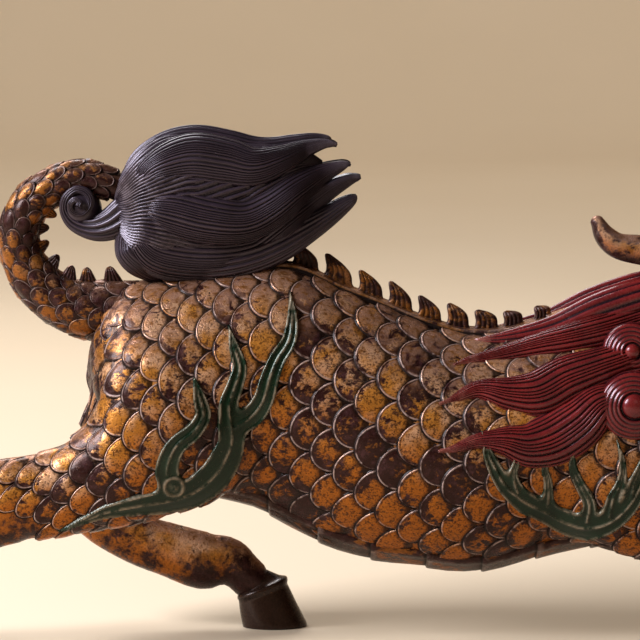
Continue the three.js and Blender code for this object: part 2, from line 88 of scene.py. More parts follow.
# Tail: x, z and radius. Tuft: as the body forms.
TAIL = [
    (-189, 323, 36), (-221, 329, 32), (-255, 331, 30), (-282, 341, 26), (-306, 363, 24),
    (-319, 391, 21), (-318, 418, 21), (-306, 440, 21), (-285, 455, 20), (-259, 464, 19),
    (-234, 459, 18), (-209, 449, 17),
]
TUFT = [
    (-225, 430, 14, 12), (-220, 429, 34, 28), (-209, 427, 54, 42), (-194, 432, 66, 52), (-174, 435, 76, 57),
    (-149, 438, 78, 58), (-124, 438, 76, 56), (-99, 440, 68, 52), (-74, 445, 60, 47),
    (-49, 451, 52, 41), (-32, 460, 34, 26), (-17, 466, 16, 12),
]

# Scale lattice of the body. Rows stand square to x; columns run tailward along the flank.
ROW_PHASE = -24.4  # x of the middle of one row
ROW_STEPS = [(-345, 17.8), (-90, 17.5), (-40, 21.3), (400, 21.3)]  # x and the row spacing there
COLUMN_LINE = [  # x and z of the column that the others are counted from
    (-345, 128), (-301, 150), (-269, 164), (-230, 174), (-187, 182), (-150, 186), (-50, 198),
    (120, 212), (200, 218), (300, 228), (400, 240),
]
COLUMN_WIDTHS = [(-345, 27), (-269, 30), (-187, 43), (-150, 44.5), (-50, 46), (120, 44), (400, 40)]
BASE_SINK = 2.0  # the smooth core lies this far below the carved surface where scales cover it


SIDEWAYS = np.array([0, 1.0, 0])


def smooth(rows, steps):
    """Curve through rows of numbers, with so many steps between two of them."""
    rows = np.asarray(rows, float)
    padded = np.vstack([2 * rows[0] - rows[1], rows, 2 * rows[-1] - rows[-2]])
    t = (np.arange(steps) / steps)[:, None]
    parts = []
    for a, b, c, d in zip(padded, padded[1:], padded[2:], padded[3:]):
        bend = (2 * a - 5 * b + 4 * c - d) * t ** 2 + (3 * b - a - 3 * c + d) * t ** 3
        parts.append(b + ((c - a) * t + bend) / 2)
    return np.vstack(parts + [rows[-1:]])


def bump(distance, width):
    return np.exp(-(distance / width) ** 2)


def ramp(value, start, length):
    return np.clip((value - start) / length, 0, 1)


def units(vectors):
    return vectors / np.maximum(np.linalg.norm(vectors, axis=-1, keepdims=True), 1e-9)


def headings(points):
    return units(np.vstack([points[1:], points[-1:]]) - np.vstack([points[:1], points[:-1]]))


def table(pairs, x):
    pairs = np.asarray(pairs, float)
    return np.interp(x, pairs[:, 0], pairs[:, 1])


def lengths(points):
    """Distance along a line to each of its points."""
    return np.concatenate([[0], np.cumsum(np.linalg.norm(np.diff(points, axis=0), axis=1))])


def between(at, length, rows):
    """Rows at distances along a line whose own rows lie at the given lengths."""
    return np.stack([np.interp(at, length, column) for column in rows.T], -1)


def trunk_at(x, steps=6):
    """Middle height, half-height and half-width of the trunk at x."""
    rows = smooth(TRUNK, steps)
    return [np.interp(x, rows[:, 0], rows[:, n]) for n in (1, 2, 3)]


def triangles_of(item):
    return np.vstack([f[:, [0, i, i + 1]] for f in item["faces"] for i in range(1, f.shape[1] - 1)])


def edges_of(quads):
    return np.vstack([quads[:, [a, (a + 1) % 4]] for a in range(4)])


def shape(verts, faces, **marks):
    """Verts, face arrays and one number per vertex for each mark; faces turned to point out."""
    item = {"verts": np.asarray(verts, float), "faces": list(faces), "marks": marks}
    a, b, c = (item["verts"][corner] for corner in triangles_of(item).T)
    if np.einsum("ij,ij->", a, np.cross(b, c)) < 0:
        item["faces"] = [f[:, ::-1] for f in faces]
    return item


def ring_quads(count, around):
    """Faces between so many rings with so many points each."""
    i = np.arange(count - 1)[:, None] * around
    j = np.arange(around)[None, :]
    k = (j + 1) % around
    return np.stack([i + j, i + k, i + around + k, i + around + j], -1).reshape(-1, 4)


def tube(rings, ends=None, **marks):
    """Closed skin over a row of rings, with a point at each end, else in the end ring's middle."""
    count, around, _ = rings.shape
    total = count * around
    j = np.arange(around)
    k = (j + 1) % around
    last = total - around
    fans = np.vstack([
        np.stack([np.full(around, total), k, j], -1),
        np.stack([np.full(around, total + 1), last + j, last + k], -1),
    ])
    full = {}
    for name, value in marks.items():
        value = np.broadcast_to(value, (count, around)).reshape(-1)
        full[name] = np.append(value, [value[:around].mean(), value[-around:].mean()])
    start, end = ends or (rings[0].mean(0), rings[-1].mean(0))
    verts = np.vstack([rings.reshape(-1, 3), start, end])
    return shape(verts, [ring_quads(count, around), fans], **full)


def points_of(x, y, z):
    return np.stack(np.broadcast_arrays(x, y, z), -1)


def along_y(points_xz, y=0.0):
    return points_of(points_xz[:, 0], y, points_xz[:, 1])


def eased(points, rounds):
    """Rows of points, each drawn towards the middle of the rows beside it."""
    for _ in range(rounds):
        inner = points[1:-1] * 0.5 + (points[:-2] + points[2:]) * 0.25
        points = np.concatenate([points[:1], inner, points[-1:]])
    return points


def rings_of(middles, across, up, section):
    """Rings of a section, given as pairs of shares of the two half-axes."""
    section = np.broadcast_to(section, (len(middles),) + np.shape(section)[-2:])
    return middles[:, None] + section[..., :1] * across[:, None] + section[..., 1:] * up[:, None]


def round_turns(count):
    return 2 * np.pi * np.arange(count) / count


def circle(count):
    turn = round_turns(count)
    return np.stack([np.cos(turn), np.sin(turn)], -1)


def rounded_ends(middles, across, up, reach=0.5):
    """Adds three stations at both ends of a form, which draw it together."""
    out = []
    for i, sign in ((0, -1), (-1, 1)):
        way = headings(middles)[i] * sign
        size = reach * min(np.linalg.norm(across[i]), np.linalg.norm(up[i]))
        turns = np.pi / 2 * np.array([1, 2, 3]) / 3.4
        out.append((
            middles[i] + np.sin(turns)[:, None] * way * size,
            across[i] * np.cos(turns)[:, None],
            up[i] * np.cos(turns)[:, None],
        ))
    bases = (middles, across, up)
    return [np.vstack([start[::-1], base, end]) for start, base, end in zip(out[0], bases, out[1])]


def form(rows, steps, around, y=0.0, bent=True):
    """Loft over rows of x, z, half-height and half-width, or x, z and radius, square to its line
    or upright."""
    rows = smooth(rows, steps)
    middles = along_y(rows[:, :2], y)
    across = SIDEWAYS * rows[:, -1:]
    up = np.cross(headings(middles), SIDEWAYS) if bent else np.array([[0, 0, 1.0]])
    return tube(rings_of(*rounded_ends(middles, across, up * rows[:, 2:3]), circle(around)))


def fused(items, voxel, blend, sink=None):
    """One smooth skin round several closed forms, with fillets where they meet."""
    every = np.vstack([item["verts"] for item in items])
    low = np.floor(every.min(0) / voxel).astype(int) - 4
    size = np.ceil(every.max(0) / voxel).astype(int) + 5 - low
    band = math.ceil(blend / voxel) + 3

    def distance(item):
        grid = openvdb.FloatGrid.createLevelSetFromPolygons(
            (item["verts"] / voxel).astype(np.float32),
            triangles=triangles_of(item).astype(np.uint32),
            halfWidth=band,
        )
        values = np.zeros(size, np.float32)
        grid.copyToArray(values, ijk=tuple(int(n) for n in low))
        return values * voxel

    field = distance(items[0])
    for item in items[1:]:
        other = distance(item)
        near = np.maximum(blend - np.abs(field - other), 0) / blend
        field = np.minimum(field, other) - near ** 2 * blend / 4
    if sink is not None:
        axes = [(low[n] + np.arange(size[n])) * voxel for n in (0, 2)]
        field += sink(axes[0][:, None], axes[1][None, :])[:, None, :]
    grid = openvdb.FloatGrid(float(band * voxel))
    grid.copyFromArray(field.astype(np.float32), ijk=tuple(int(n) for n in low))
    points, quads = grid.convertToQuads(0.0)
    return shape(points * voxel, [quads.astype(np.int64)])


RELAX_SHARES = (0.5, -0.515, 0.5, -0.515)  # how far points go to the middle of those round them


def relaxed(item):
    """Evens out the steps that a grid leaves in a skin."""
    verts = item["verts"].copy()
    edges = edges_of(item["faces"][0])
    edges = np.vstack([edges, edges[:, ::-1]])
    count = np.bincount(edges[:, 0], minlength=len(verts))[:, None]
    for factor in RELAX_SHARES:
        ends = verts[edges[:, 1]].T
        total = np.stack([np.bincount(edges[:, 0], end, len(verts)) for end in ends], -1)
        verts += factor * (total / np.maximum(count, 1) - verts)
    return shape(verts, item["faces"], **item["marks"])


def add_object(name, data):
    item = bpy.data.objects.new(name, data)
    bpy.context.scene.collection.objects.link(item)
    return item


def add_mesh(name, verts, faces, material):
    """Smooth-shaded object of a mesh."""
    mesh = bpy.data.meshes.new(name)
    mesh.from_pydata(verts, [], faces)
    mesh.polygons.foreach_set("use_smooth", [True] * len(faces))
    mesh.materials.append(material)
    return add_object(name, mesh)


def piece(name, shapes, look):
    """One object of several closed shapes, riding on the figure."""
    material, slot = look
    offsets = np.cumsum([0] + [len(s["verts"]) for s in shapes])
    verts = np.vstack([s["verts"] for s in shapes]) * SHARE
    groups = [group + offset for s, offset in zip(shapes, offsets) for group in s["faces"]]
    item = add_mesh(name, verts.tolist(), [face for group in groups for face in group.tolist()], material)
    for mark in sorted({mark for s in shapes for mark in s["marks"]}):
        values = [np.broadcast_to(s["marks"].get(mark, 0.0), len(s["verts"])) for s in shapes]
        attribute = item.data.attributes.new(mark, "FLOAT", "POINT")
        attribute.data.foreach_set("value", np.concatenate(values).astype(np.float32))
    item.data.validate()
    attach(item, "root")
    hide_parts("qilin")


def tree_of(item):
    faces = [f for group in item["faces"] for f in group.tolist()]
    return BVHTree.FromPolygons(item["verts"].tolist(), faces)


OUTSIDE = 300.0  # rays that look for a skin start this far out


def first_hit(tree, origins, ways, reach):
    """Points and outward normals where rays meet a skin; misses are not numbers."""
    points = np.full(np.shape(origins), np.nan)
    normals = np.full(np.shape(origins), np.nan)
    flat = zip(np.reshape(origins, (-1, 3)), np.reshape(ways, (-1, 3)))
    for i, (origin, way) in enumerate(flat):
        hit, normal, _, _ = tree.ray_cast(Vector(origin), Vector(way), reach)
        if hit is not None:
            points.reshape(-1, 3)[i] = hit
            normals.reshape(-1, 3)[i] = normal
    return points, normals


def side_hits(tree, x, z, side):
    """Points and outward normals where one side of a body is met at places of x and z."""
    origins = points_of(x, side * OUTSIDE, z)
    return first_hit(tree, origins, np.broadcast_to([0, -float(side), 0], origins.shape), OUTSIDE)


class Skin:
    """Places on a surface by row u, counted tailward, and column v, counted upward."""

    def __init__(self, points, out_of, u_step, v_low, v_step):
        self.points = points = eased(points, 2)
        normals = np.cross(np.gradient(points, axis=0), np.gradient(points, axis=1))
        flip = np.sign(np.einsum("uvk,uvk->uv", normals, points - out_of))[..., None]
        self.normals = units(normals * np.where(flip == 0, 1, flip))
        self.u_step, self.v_low, self.v_step = u_step, v_low, v_step

    def at(self, u, v):
        fu = np.clip(u / self.u_step, 0, self.points.shape[0] - 1.001)
        fv = np.clip((v - self.v_low) / self.v_step, 0, self.points.shape[1] - 1.001)
        iu, iv = fu.astype(int), fv.astype(int)
        du, dv = (fu - iu)[..., None], (fv - iv)[..., None]

        def blend(grid):
            near = grid[iu, iv] * (1 - dv) + grid[iu, iv + 1] * dv
            far = grid[iu + 1, iv] * (1 - dv) + grid[iu + 1, iv + 1] * dv
            return near * (1 - du) + far * du

        return blend(self.points), units(blend(self.normals))


# Section of a scale from its foot to its middle: shrink about the middle, lift, rim, groove and edge.
# The rim is painted pale, partly as a highlight; the groove gets painted shade.
SCALE_RINGS = [
    (1.09, -4.5, 0.0, 1.0, 1.0), (1.09, -1.3, 0.0, 1.0, 1.0), (1.02, -1.2, 0.0, 1.0, 1.0),
    (1.0, -0.1, 0.8, 0.2, 1.0), (0.972, 0.40, 1.0, 0.0, 1.0), (0.938, 0.35, 0.8, 0.0, 1.0),
    (0.915, 0.0, 0.0, 0.35, 0.9), (0.86, 0.25, 0.0, 0.0, 0.8), (0.76, 0.60, 0.0, 0.0, 0.6),
    (0.62, 1.0, 0.0, 0.0, 0.3), (0.4, 1.35, 0.0, 0.0, 0.0),
]
SCALE_MIDDLE_LIFT = 1.5
PLATE_SHADE = 0.4  # painted shade lies within this share of a plate's size beside the rims over it
OFF_SKIN = 4.0  # a scale that lies further than this off its body is left out
# Place of a scale's middle, and its foot from one side to the other, in rows and columns.
SCALE_MIDDLE = np.array([0.22, 0.0])
SCALE_FOOT = [(-0.5, 0.48), (-1.0, 0.25), (-1.0, -0.25), (-0.5, -0.48)]
SCALE_SCATTER = (0.03, 0.03, 0.25, 0.9)  # of length, width, lift and tilt


def plates(skin, centres, rng, body, reach=1.15, tip=3.4, root=-1.8, square=2.0, rim_points=17, swell=0.0):
    """Overlapping plates on a skin. A centre is u, v; the rim is tailward and rises to tip."""
    turns = np.linspace(-np.pi / 2, np.pi / 2, rim_points)
    sine, cosine = np.sin(turns), np.cos(turns)
    wide = 0.5 * np.sign(sine) * np.abs(sine) ** (2 / square)
    rim = np.stack([reach * np.abs(cosine) ** (2 / square), wide], -1)
    outline = np.vstack([rim, SCALE_FOOT])
    around = len(outline)
    rings = np.array(SCALE_RINGS)
    local = SCALE_MIDDLE + (outline - SCALE_MIDDLE) * rings[:, 0, None, None]
    local = np.vstack([local.reshape(-1, 2), SCALE_MIDDLE])
    dome = [SCALE_MIDDLE_LIFT + swell, 0, 0, 0]
    lifts, *marks = np.vstack([np.repeat(rings[:, 1:], around, axis=0), dome]).T
    over = np.hypot((local[:, 0] + 1) / reach, (np.abs(local[:, 1]) - 0.5) / 0.5) - 1
    # under: painted shade on a plate beside the rims of the plates that lie over it
    marks.append(np.clip(1 - over / PLATE_SHADE, 0, 1))
    slope = root + (tip - root) * (local[:, 0] + 1) / (reach + 1)

    across = skin.at(centres[:, :1] + outline[:, 0], centres[:, 1:] + outline[:, 1])[0]
    off = [[body.find_nearest(Vector(point))[3] for point in plate] for plate in across]
    centres = centres[np.mean(off, axis=1) < OFF_SKIN]
    count, corners = len(centres), len(local)
    draws = rng.uniform(-1, 1, (4, count, 1))
    long, wide, high, tilt = (draw * most for draw, most in zip(draws, SCALE_SCATTER))
    u = centres[:, :1] + local[:, 0] * (1 + long)
    v = centres[:, 1:] + local[:, 1] * (1 + wide)
    points, normals = skin.at(u, v)
    lift = slope + lifts + high + tilt * local[:, 1]
    verts = (points + normals * lift[..., None]).reshape(-1, 3)

    k = np.arange(around)
    last = corners - 1 - around
    fan = np.stack([last + k, last + (k + 1) % around, np.full(around, corners - 1)], -1)
    offsets = (np.arange(count) * corners)[:, None, None]
    parts = (ring_quads(len(rings), around), fan, k[::-1][None])
    faces = [(part[None] + offsets).reshape(-1, part.shape[1]) for part in parts]
    full = {name: np.tile(mark, count) for name, mark in zip(("rim", "groove", "edge", "under"), marks)}
    return shape(verts, faces, tone=np.repeat(rng.random(count), corners), **full)


# Middle of the sections that each side's scales are measured round: x and y, and x and z.
SECTION_MIDDLES = {
    -1: (
        [(-260, -LEG_PLACE), (-225, -20), (-195, 0), (340, 0), (375, -45)],
        [(-345, 135), (-321, 149), (-271, 158), (-242, 178), (-225, 225), (-195, 252), (-80, 254),
         (-40, 242), (1, 223), (121, 190), (241, 205), (301, 196), (350, 160), (400, 118)],
    ),
    1: (
        [(-250, LEG_PLACE), (-225, 25), (-195, 0), (340, 0), (380, 50)],
        [(-290, 146), (-246, 152), (-225, 215), (-195, 250), (-80, 254), (-40, 242), (1, 223),
         (121, 190), (241, 205), (301, 196), (350, 150), (400, 116), (440, 96)],
    ),
}
LATTICE_PARTS = 3  # steps of a lattice from one row to the next
LATTICE_STEP = 0.25  # and its steps from one column to the next

# Back of the rump: x of the upright line that it turns round, and its scale rows and columns.
REAR_AXIS = -196
REAR_START = math.radians(20)
REAR_ROW, REAR_COLUMN = math.radians(12), 30.0
REAR_LOW = 244.0  # height of the lowest column
REAR_OUTSIDE = 220.0  # rays that look for it start this far from the line
REAR_REACH = 96.0  # what lies further from the line belongs to the legs
REAR_ROWS, REAR_COLUMNS = 6, 4


def staggered(rows, columns):
    """Middles of the scales of rows, each set half a column off the last."""
    return np.array([(i, n + 0.5 * (i % 2)) for i in rows for n in range(columns)], float)


def rear_skin(tree, side):
    """Lattice that carries the rows of one flank on round the back of the rump."""
    turns = REAR_START + np.arange(REAR_ROWS * LATTICE_PARTS + 1) / LATTICE_PARTS * REAR_ROW
    v = np.arange(-1.0, REAR_COLUMNS + 1.1, LATTICE_STEP)
    ways = points_of(-np.sin(turns), side * np.cos(turns), 0.0)
    middles = points_of(REAR_AXIS, 0.0, REAR_LOW + v * REAR_COLUMN)
    origins = middles[None] + REAR_OUTSIDE * ways[:, None]
    hits, _ = first_hit(tree, origins, np.broadcast_to(-ways[:, None], origins.shape), REAR_OUTSIDE)
    hits[np.linalg.norm(hits - middles, axis=-1) > REAR_REACH] = np.nan
    points = eased(filled(hits).swapaxes(0, 1), 3).swapaxes(0, 1)
    skin = Skin(points, np.broadcast_to(middles, points.shape), 1 / LATTICE_PARTS, v[0], LATTICE_STEP)
    return skin, staggered(range(1, REAR_ROWS), REAR_COLUMNS)


BELLY_SCUTE = 56.0  # length of a plate of the belly
BELLY_STEPS = [  # share of a plate's length, lift, how pale and how dark
    (0.0, 2.2, 0, 1), (0.06, 2.5, 0, 0.4), (0.3, 2.9, 0, 0), (0.6, 3.5, 0, 0), (0.86, 4.2, 0, 0),
    (0.94, 4.5, 1, 0), (0.98, 4.1, 0.6, 0), (0.995, 2.2, 0, 1),
]
BELLY_SIDE = [  # degrees from the lowest line, and lift
    (0, 0), (6, 0), (12, 0), (18, 0), (24, 0), (27, 0.3), (29, 1.2), (30.5, 1.6), (32, 1.0),
    (33.5, -1.5), (34.5, -9),
]
BELLY_CORD = 30.5  # degrees at which a cord runs along the band
BELLY_ENDS = (-160, 354)  # x of the trunk's rows from which and to which it runs


def belly_band():
    """Band of plates along the belly, each over the next, with a cord along both sides."""
    rows = smooth([row for row in TRUNK if BELLY_ENDS[0] <= row[0] <= BELLY_ENDS[1]], 12)[::-1]
    low = along_y(np.stack([rows[:, 0], rows[:, 1] - rows[:, 2]], -1))
    length = lengths(low)
    steps = np.array(BELLY_STEPS, float)
    count = int(length[-1] / BELLY_SCUTE)
    at = ((np.arange(count)[:, None] + steps[:, 0]) * BELLY_SCUTE).ravel()
    lift, pale, groove_shade = (np.tile(steps[:, n], count)[:, None] for n in (1, 2, 3))
    x, middle, tall, wide = between(at, length, rows).T[..., None]
    half = np.array(BELLY_SIDE, float)
    side = np.vstack([half[:0:-1] * [-1, 1], half])
    turn = np.radians(side[:, 0])
    rise = lift + side[:, 1] - BASE_SINK
    rings = points_of(x, np.sin(turn) * (wide + rise), middle - np.cos(turn) * (tall + rise))
    cord = bump(np.abs(side[:, 0]) - BELLY_CORD, 1.2)
    rim, edge = np.maximum(pale, 0.6 * cord), np.maximum(pale, cord)
    # the joins get painted shade through the groove mark; the raised ends are rubbed pale with a painted
    # highlight through the rim mark
    return tube(rings, rim=rim, groove=groove_shade, tone=0.2, edge=edge)


def row_places(first, last):
    """x of the scale rows, tailward, from first down to last."""
    rows = [ROW_PHASE]
    while rows[0] < first:
        rows.insert(0, rows[0] + table(ROW_STEPS, rows[0]))
    while rows[-1] > last:
        rows.append(rows[-1] - table(ROW_STEPS, rows[-1]))
    return np.array(rows)


def crossing(heights, length, level):
    """Distance along a falling line to where it first passes a level, or past its end."""
    if heights[0] <= level:
        return heights[0] - level
    if heights.min() > level:
        return length[-1] + heights[-1] - level
    below = int(np.argmax(heights <= level))
    return np.interp(-level, -heights[below - 1:below + 1], length[below - 1:below + 1])


COLUMNS = np.arange(-4.5, 6.75, LATTICE_STEP)  # columns of a flank's lattice
OVERHANG = 0.12  # columns past either end of a section are drawn in to this share


def flank_skin(tree, side, first, last):
    """Scale lattice of one flank. Columns keep their distance along the skin."""
    rows = row_places(first, last)
    at = np.arange((len(rows) - 1) * LATTICE_PARTS + 1) / LATTICE_PARTS
    stations = np.interp(at, np.arange(len(rows)), rows)
    turns = np.radians(np.arange(0, 181, 2.5))
    ways = points_of(0.0, side * np.sin(turns), np.cos(turns))
    points, middles, reaches = [], [], []
    for x in stations:
        y, z = (table(pairs, x) for pairs in SECTION_MIDDLES[side])
        middle = np.array([x, y, z])
        hits, _ = first_hit(tree, middle + OUTSIDE * ways, -ways, OUTSIDE)
        hits = hits[~np.isnan(hits[:, 0])]
        length = lengths(hits)
        total = length[-1]
        start = crossing(hits[:, 2], length, table(COLUMN_LINE, x))
        width = table(COLUMN_WIDTHS, x)
        along = start - COLUMNS * width
        along = np.where(along < 0, OVERHANG * along, along)
        along = np.where(along > total, total + OVERHANG * (along - total), along)
        over = (along < 0) | (along > total)
        row = between(np.where(along > total, 2 * total - along, np.abs(along)), length, hits)
        row[over, 1] = 2 * y - row[over, 1]
        points.append(row)
        middles.append(np.broadcast_to(middle, row.shape))
        reaches.append((start / width, (start - total) / width))
    skin = Skin(np.array(points), np.array(middles), 1 / LATTICE_PARTS, COLUMNS[0], LATTICE_STEP)
    return skin, rows, np.array(reaches)[::LATTICE_PARTS]


def flank_centres(skin, rows, reaches, side):
    """Middles of the scales of a flank: every other column in each row."""
    spots = []
    half_row = int(np.argmin(np.abs(rows - ROW_PHASE))) % 2
    for i in range(2, len(rows) - 1):
        shift = 0.5 if i % 2 == half_row else 0.0
        for v in np.arange(-4, 6) + shift:
            top, bottom = reaches[i]
            if bottom + 0.1 < v < top - 0.1:
                spots.append((i, v))
    spots = np.array(spots, float)
    return spots[has_scales(skin.at(spots[:, 0], spots[:, 1])[0], side)]


# Heights at which the scales end on the legs of each side. For the hind leg: the x behind which
# its height holds, that height, and its fall for each step forward of HOCK_X.
HOCK_X = -312
HOCK_ENDS = {-1: (-225, 142, 1.25), 1: (-100, 128, 0.0)}
FRONT_LEGS_FROM = 330
KNEE_ENDS = {-1: 100, 1: 88}
LOWEST_SCALES = 70
REAR_FROM, REAR_OVER = -256, 235  # behind this x and over this height the rump's back has its own
BARE_BELLY = (0.56, 40, -215)  # share of the trunk's half-width, depth below its middle, and x


def has_scales(places, side):
    """Whether each place on a flank bears a scale."""
    x, y, z = places.T
    middle, _, half = trunk_at(x, 1)
    wide, under, behind = BARE_BELLY
    hock_x, hock_z, slope = HOCK_ENDS[side]
    bare = (np.abs(y) < wide * half) & (z < middle - under) & (x > behind)
    bare |= (x < hock_x) & (z < hock_z - slope * (x - HOCK_X))
    bare |= (x > FRONT_LEGS_FROM) & (z < KNEE_ENDS[side])
    bare |= (x < REAR_FROM) & (z > REAR_OVER)
    return ~(bare | (z < LOWEST_SCALES))


TAIL_SINK = 3.5  # the tail's core lies this far below the tops of its scales
TAIL_ROWS = np.array(TAIL) - [0, 0, TAIL_SINK]
TAIL_ROW, TAIL_COLUMN = 15.0, 18.5  # length of its rows and width of its columns of scales


def tail_skin():
    """Lattice round the tail: u along it from its first row, v round it."""
    fine = smooth(TAIL_ROWS, 10)
    middles = along_y(fine[:, :2])
    length = lengths(middles)
    count = int(length[-1] / TAIL_ROW)
    at = np.arange(count * LATTICE_PARTS + 1) / LATTICE_PARTS * TAIL_ROW
    middles = between(at, length, middles)
    radii = np.interp(at, length, fine[:, 2])[:, None]
    around = int(round(2 * np.pi * radii.mean() / TAIL_COLUMN))
    v_low, v_step = -1.0, 1 / 6
    turn = 2 * np.pi * np.arange(v_low, around + 1, v_step) / around
    up = np.cross(headings(middles), SIDEWAYS)
    points = rings_of(middles, up * radii, SIDEWAYS * radii, np.stack([np.cos(turn), np.sin(turn)], -1))
    out_of = np.broadcast_to(middles[:, None], points.shape)
    return Skin(points, out_of, 1 / LATTICE_PARTS, v_low, v_step), staggered(range(1, count - 1), around)


def laid_frame(tree, rows, side, steps):
    """Rows, places, ways across and ways out along a line of x and z laid on a flank."""
    fine = smooth(rows, steps)
    feet, out = side_hits(tree, fine[:, 0], fine[:, 1], side)
    good = ~np.isnan(feet[:, 0])
    index = np.arange(len(fine))
    for n in range(3):
        feet[:, n] = np.interp(index, index[good], feet[good, n])
        out[:, n] = np.interp(index, index[good], out[good, n])
    feet[:, 0], feet[:, 2] = fine[:, 0], fine[:, 1]
    out = units(out + [0, 0.6 * side, 0])
    for _ in range(3):
        out[1:-1] = units(out[:-2] + 2 * out[1:-1] + out[2:])
        feet[1:-1, 1] = (feet[:-2, 1] + 2 * feet[1:-1, 1] + feet[2:, 1]) / 4
    way = headings(feet)
    across = units(np.cross(out, way))
    return fine, feet, across, units(np.cross(way, across))


PATCH_STEP = 5.0
FLAME_STEP = 1.4
FLAME_JOIN = 9.0  # bays between flames are rounded over this reach
FLAME_FOOT = 2.4  # how far the relief runs on under the scales round it
FLAME_SLIM = 1.2  # the strokes are this much thinner than their rows say
FLAME_FLOOR = 4.2  # height of its channels over the core
FLAME_LINE = 2.2  # height of its edges and middle line over the channels
FLAME_BED = -2.5  # height at which its sides end, under the skin
FLAME_MARGIN = 16
FLAME_WALL = 4.0  # how far its foot lies under the skin
FLAME_EDGE_LINE = (1.5, 0.9)  # how far in from the outline the edge's line runs, and its width
FLAME_MIDDLE_LINE = (3.2, 2.0)  # how far in the middle line begins, and over what length
FLAME_SIDE = (-1.2, 2.4)  # how far in the flames' sides begin to rise, and over what length
KNOB_LINES = (1.3, 3.4)  # widths of the ring round a knob and of the swelling in its middle
KNOB_EDGE, KNOB_CLEAR = 2.0, 4  # how far round its ring a knob is carved, and clear of other lines
FLANK_LEAST = 12  # a flank ends this near to the middle plane


def filled(grid):
    """A grid of points with its gaps filled in from the places round them."""
    grid = grid.copy()
    while np.isnan(grid).any():
        padded = np.pad(grid, ((1, 1), (1, 1), (0, 0)), constant_values=np.nan)
        near = np.stack([padded[:-2, 1:-1], padded[2:, 1:-1], padded[1:-1, :-2], padded[1:-1, 2:]])
        known = ~np.isnan(near)
        mean = np.where(known, near, 0).sum(0) / np.maximum(known.sum(0), 1)
        grid = np.where(np.isnan(grid) & known.any(0), mean, grid)
    return grid


def flank_patch(tree, side, low, high):
    """Skin of one side of the body over a rectangle of x and z, and where that side is met."""
    x, z = (np.arange(low[n] - PATCH_STEP, high[n] + 2 * PATCH_STEP, PATCH_STEP) for n in (0, 1))
    hits, _ = side_hits(tree, x[:, None], z[None], side)
    good = hits[..., 1] * side > FLANK_LEAST
    hits[~good] = np.nan
    points = points_of(x[:, None], filled(hits[..., 1:2])[..., 0], z[None])
    skin = Skin(points, points * [1, 0, 1], PATCH_STEP, z[0], PATCH_STEP)
    return skin, x[0], good


def inside_flames(strokes, x, z):
    """How far inside the flames each place lies, and how far off the nearest stroke's middle."""
    inside = np.full(x.shape, -1e3)
    off = np.full(x.shape, 1e3)
    for rows in strokes:
        depth, near = np.full(x.shape, -1e3), np.full(x.shape, 1e3)
        fine = smooth(rows, 4)
        for (ax, az, width), (dx, dz, growth) in zip(fine, np.diff(fine, axis=0)):
            t = np.clip(((x - ax) * dx + (z - az) * dz) / max(dx ** 2 + dz ** 2, 1e-6), 0, 1)
            distance = np.hypot(x - ax - t * dx, z - az - t * dz)
            here = width + t * growth - distance
            near = np.where(here > depth, distance, near)
            depth = np.maximum(depth, here)
        join = np.maximum(FLAME_JOIN - np.abs(inside - depth), 0) / FLAME_JOIN
        off = np.where(depth > inside, near, off)
        inside = np.maximum(inside, depth) + join ** 2 * FLAME_JOIN / 4
    return inside, off


def relief(skin, x_low, x, z, used, height, foot, **marks):
    """Closed relief over the used squares of a grid of x and z, laid on a skin. Where two squares
    touch at a corner only, a third joins them."""
    for _ in range(3):
        corner = used[:-1, :-1] & used[1:, 1:] & ~used[1:, :-1] & ~used[:-1, 1:]
        other = used[1:, :-1] & used[:-1, 1:] & ~used[:-1, :-1] & ~used[1:, 1:]
        used[1:, :-1] |= corner
        used[:-1, :-1] |= other
    i, j = np.nonzero(used)
    wide = used.shape[1] + 1
    corners = np.stack([i * wide + j, (i + 1) * wide + j, (i + 1) * wide + j + 1, i * wide + j + 1], -1)
    nodes, place = np.unique(corners, return_inverse=True)
    quads = place.reshape(corners.shape)
    node_x, node_z = x.reshape(-1)[nodes], z.reshape(-1)[nodes]
    points, normals = skin.at(node_x - x_low, node_z)
    top = points + normals * height.reshape(-1)[nodes][:, None]
    under = points - normals * foot
    edges = edges_of(quads)
    rim = edges[~np.isin(edges @ [len(nodes), 1], edges @ [1, len(nodes)])]
    walls = np.stack([rim[:, 1], rim[:, 0], rim[:, 0] + len(nodes), rim[:, 1] + len(nodes)], -1)
    faces = np.vstack([quads, quads[:, ::-1] + len(nodes), walls])
    full = {name: np.tile(value.reshape(-1)[nodes], 2) for name, value in marks.items()}
    return shape(np.vstack([top, under]), [faces], **full)


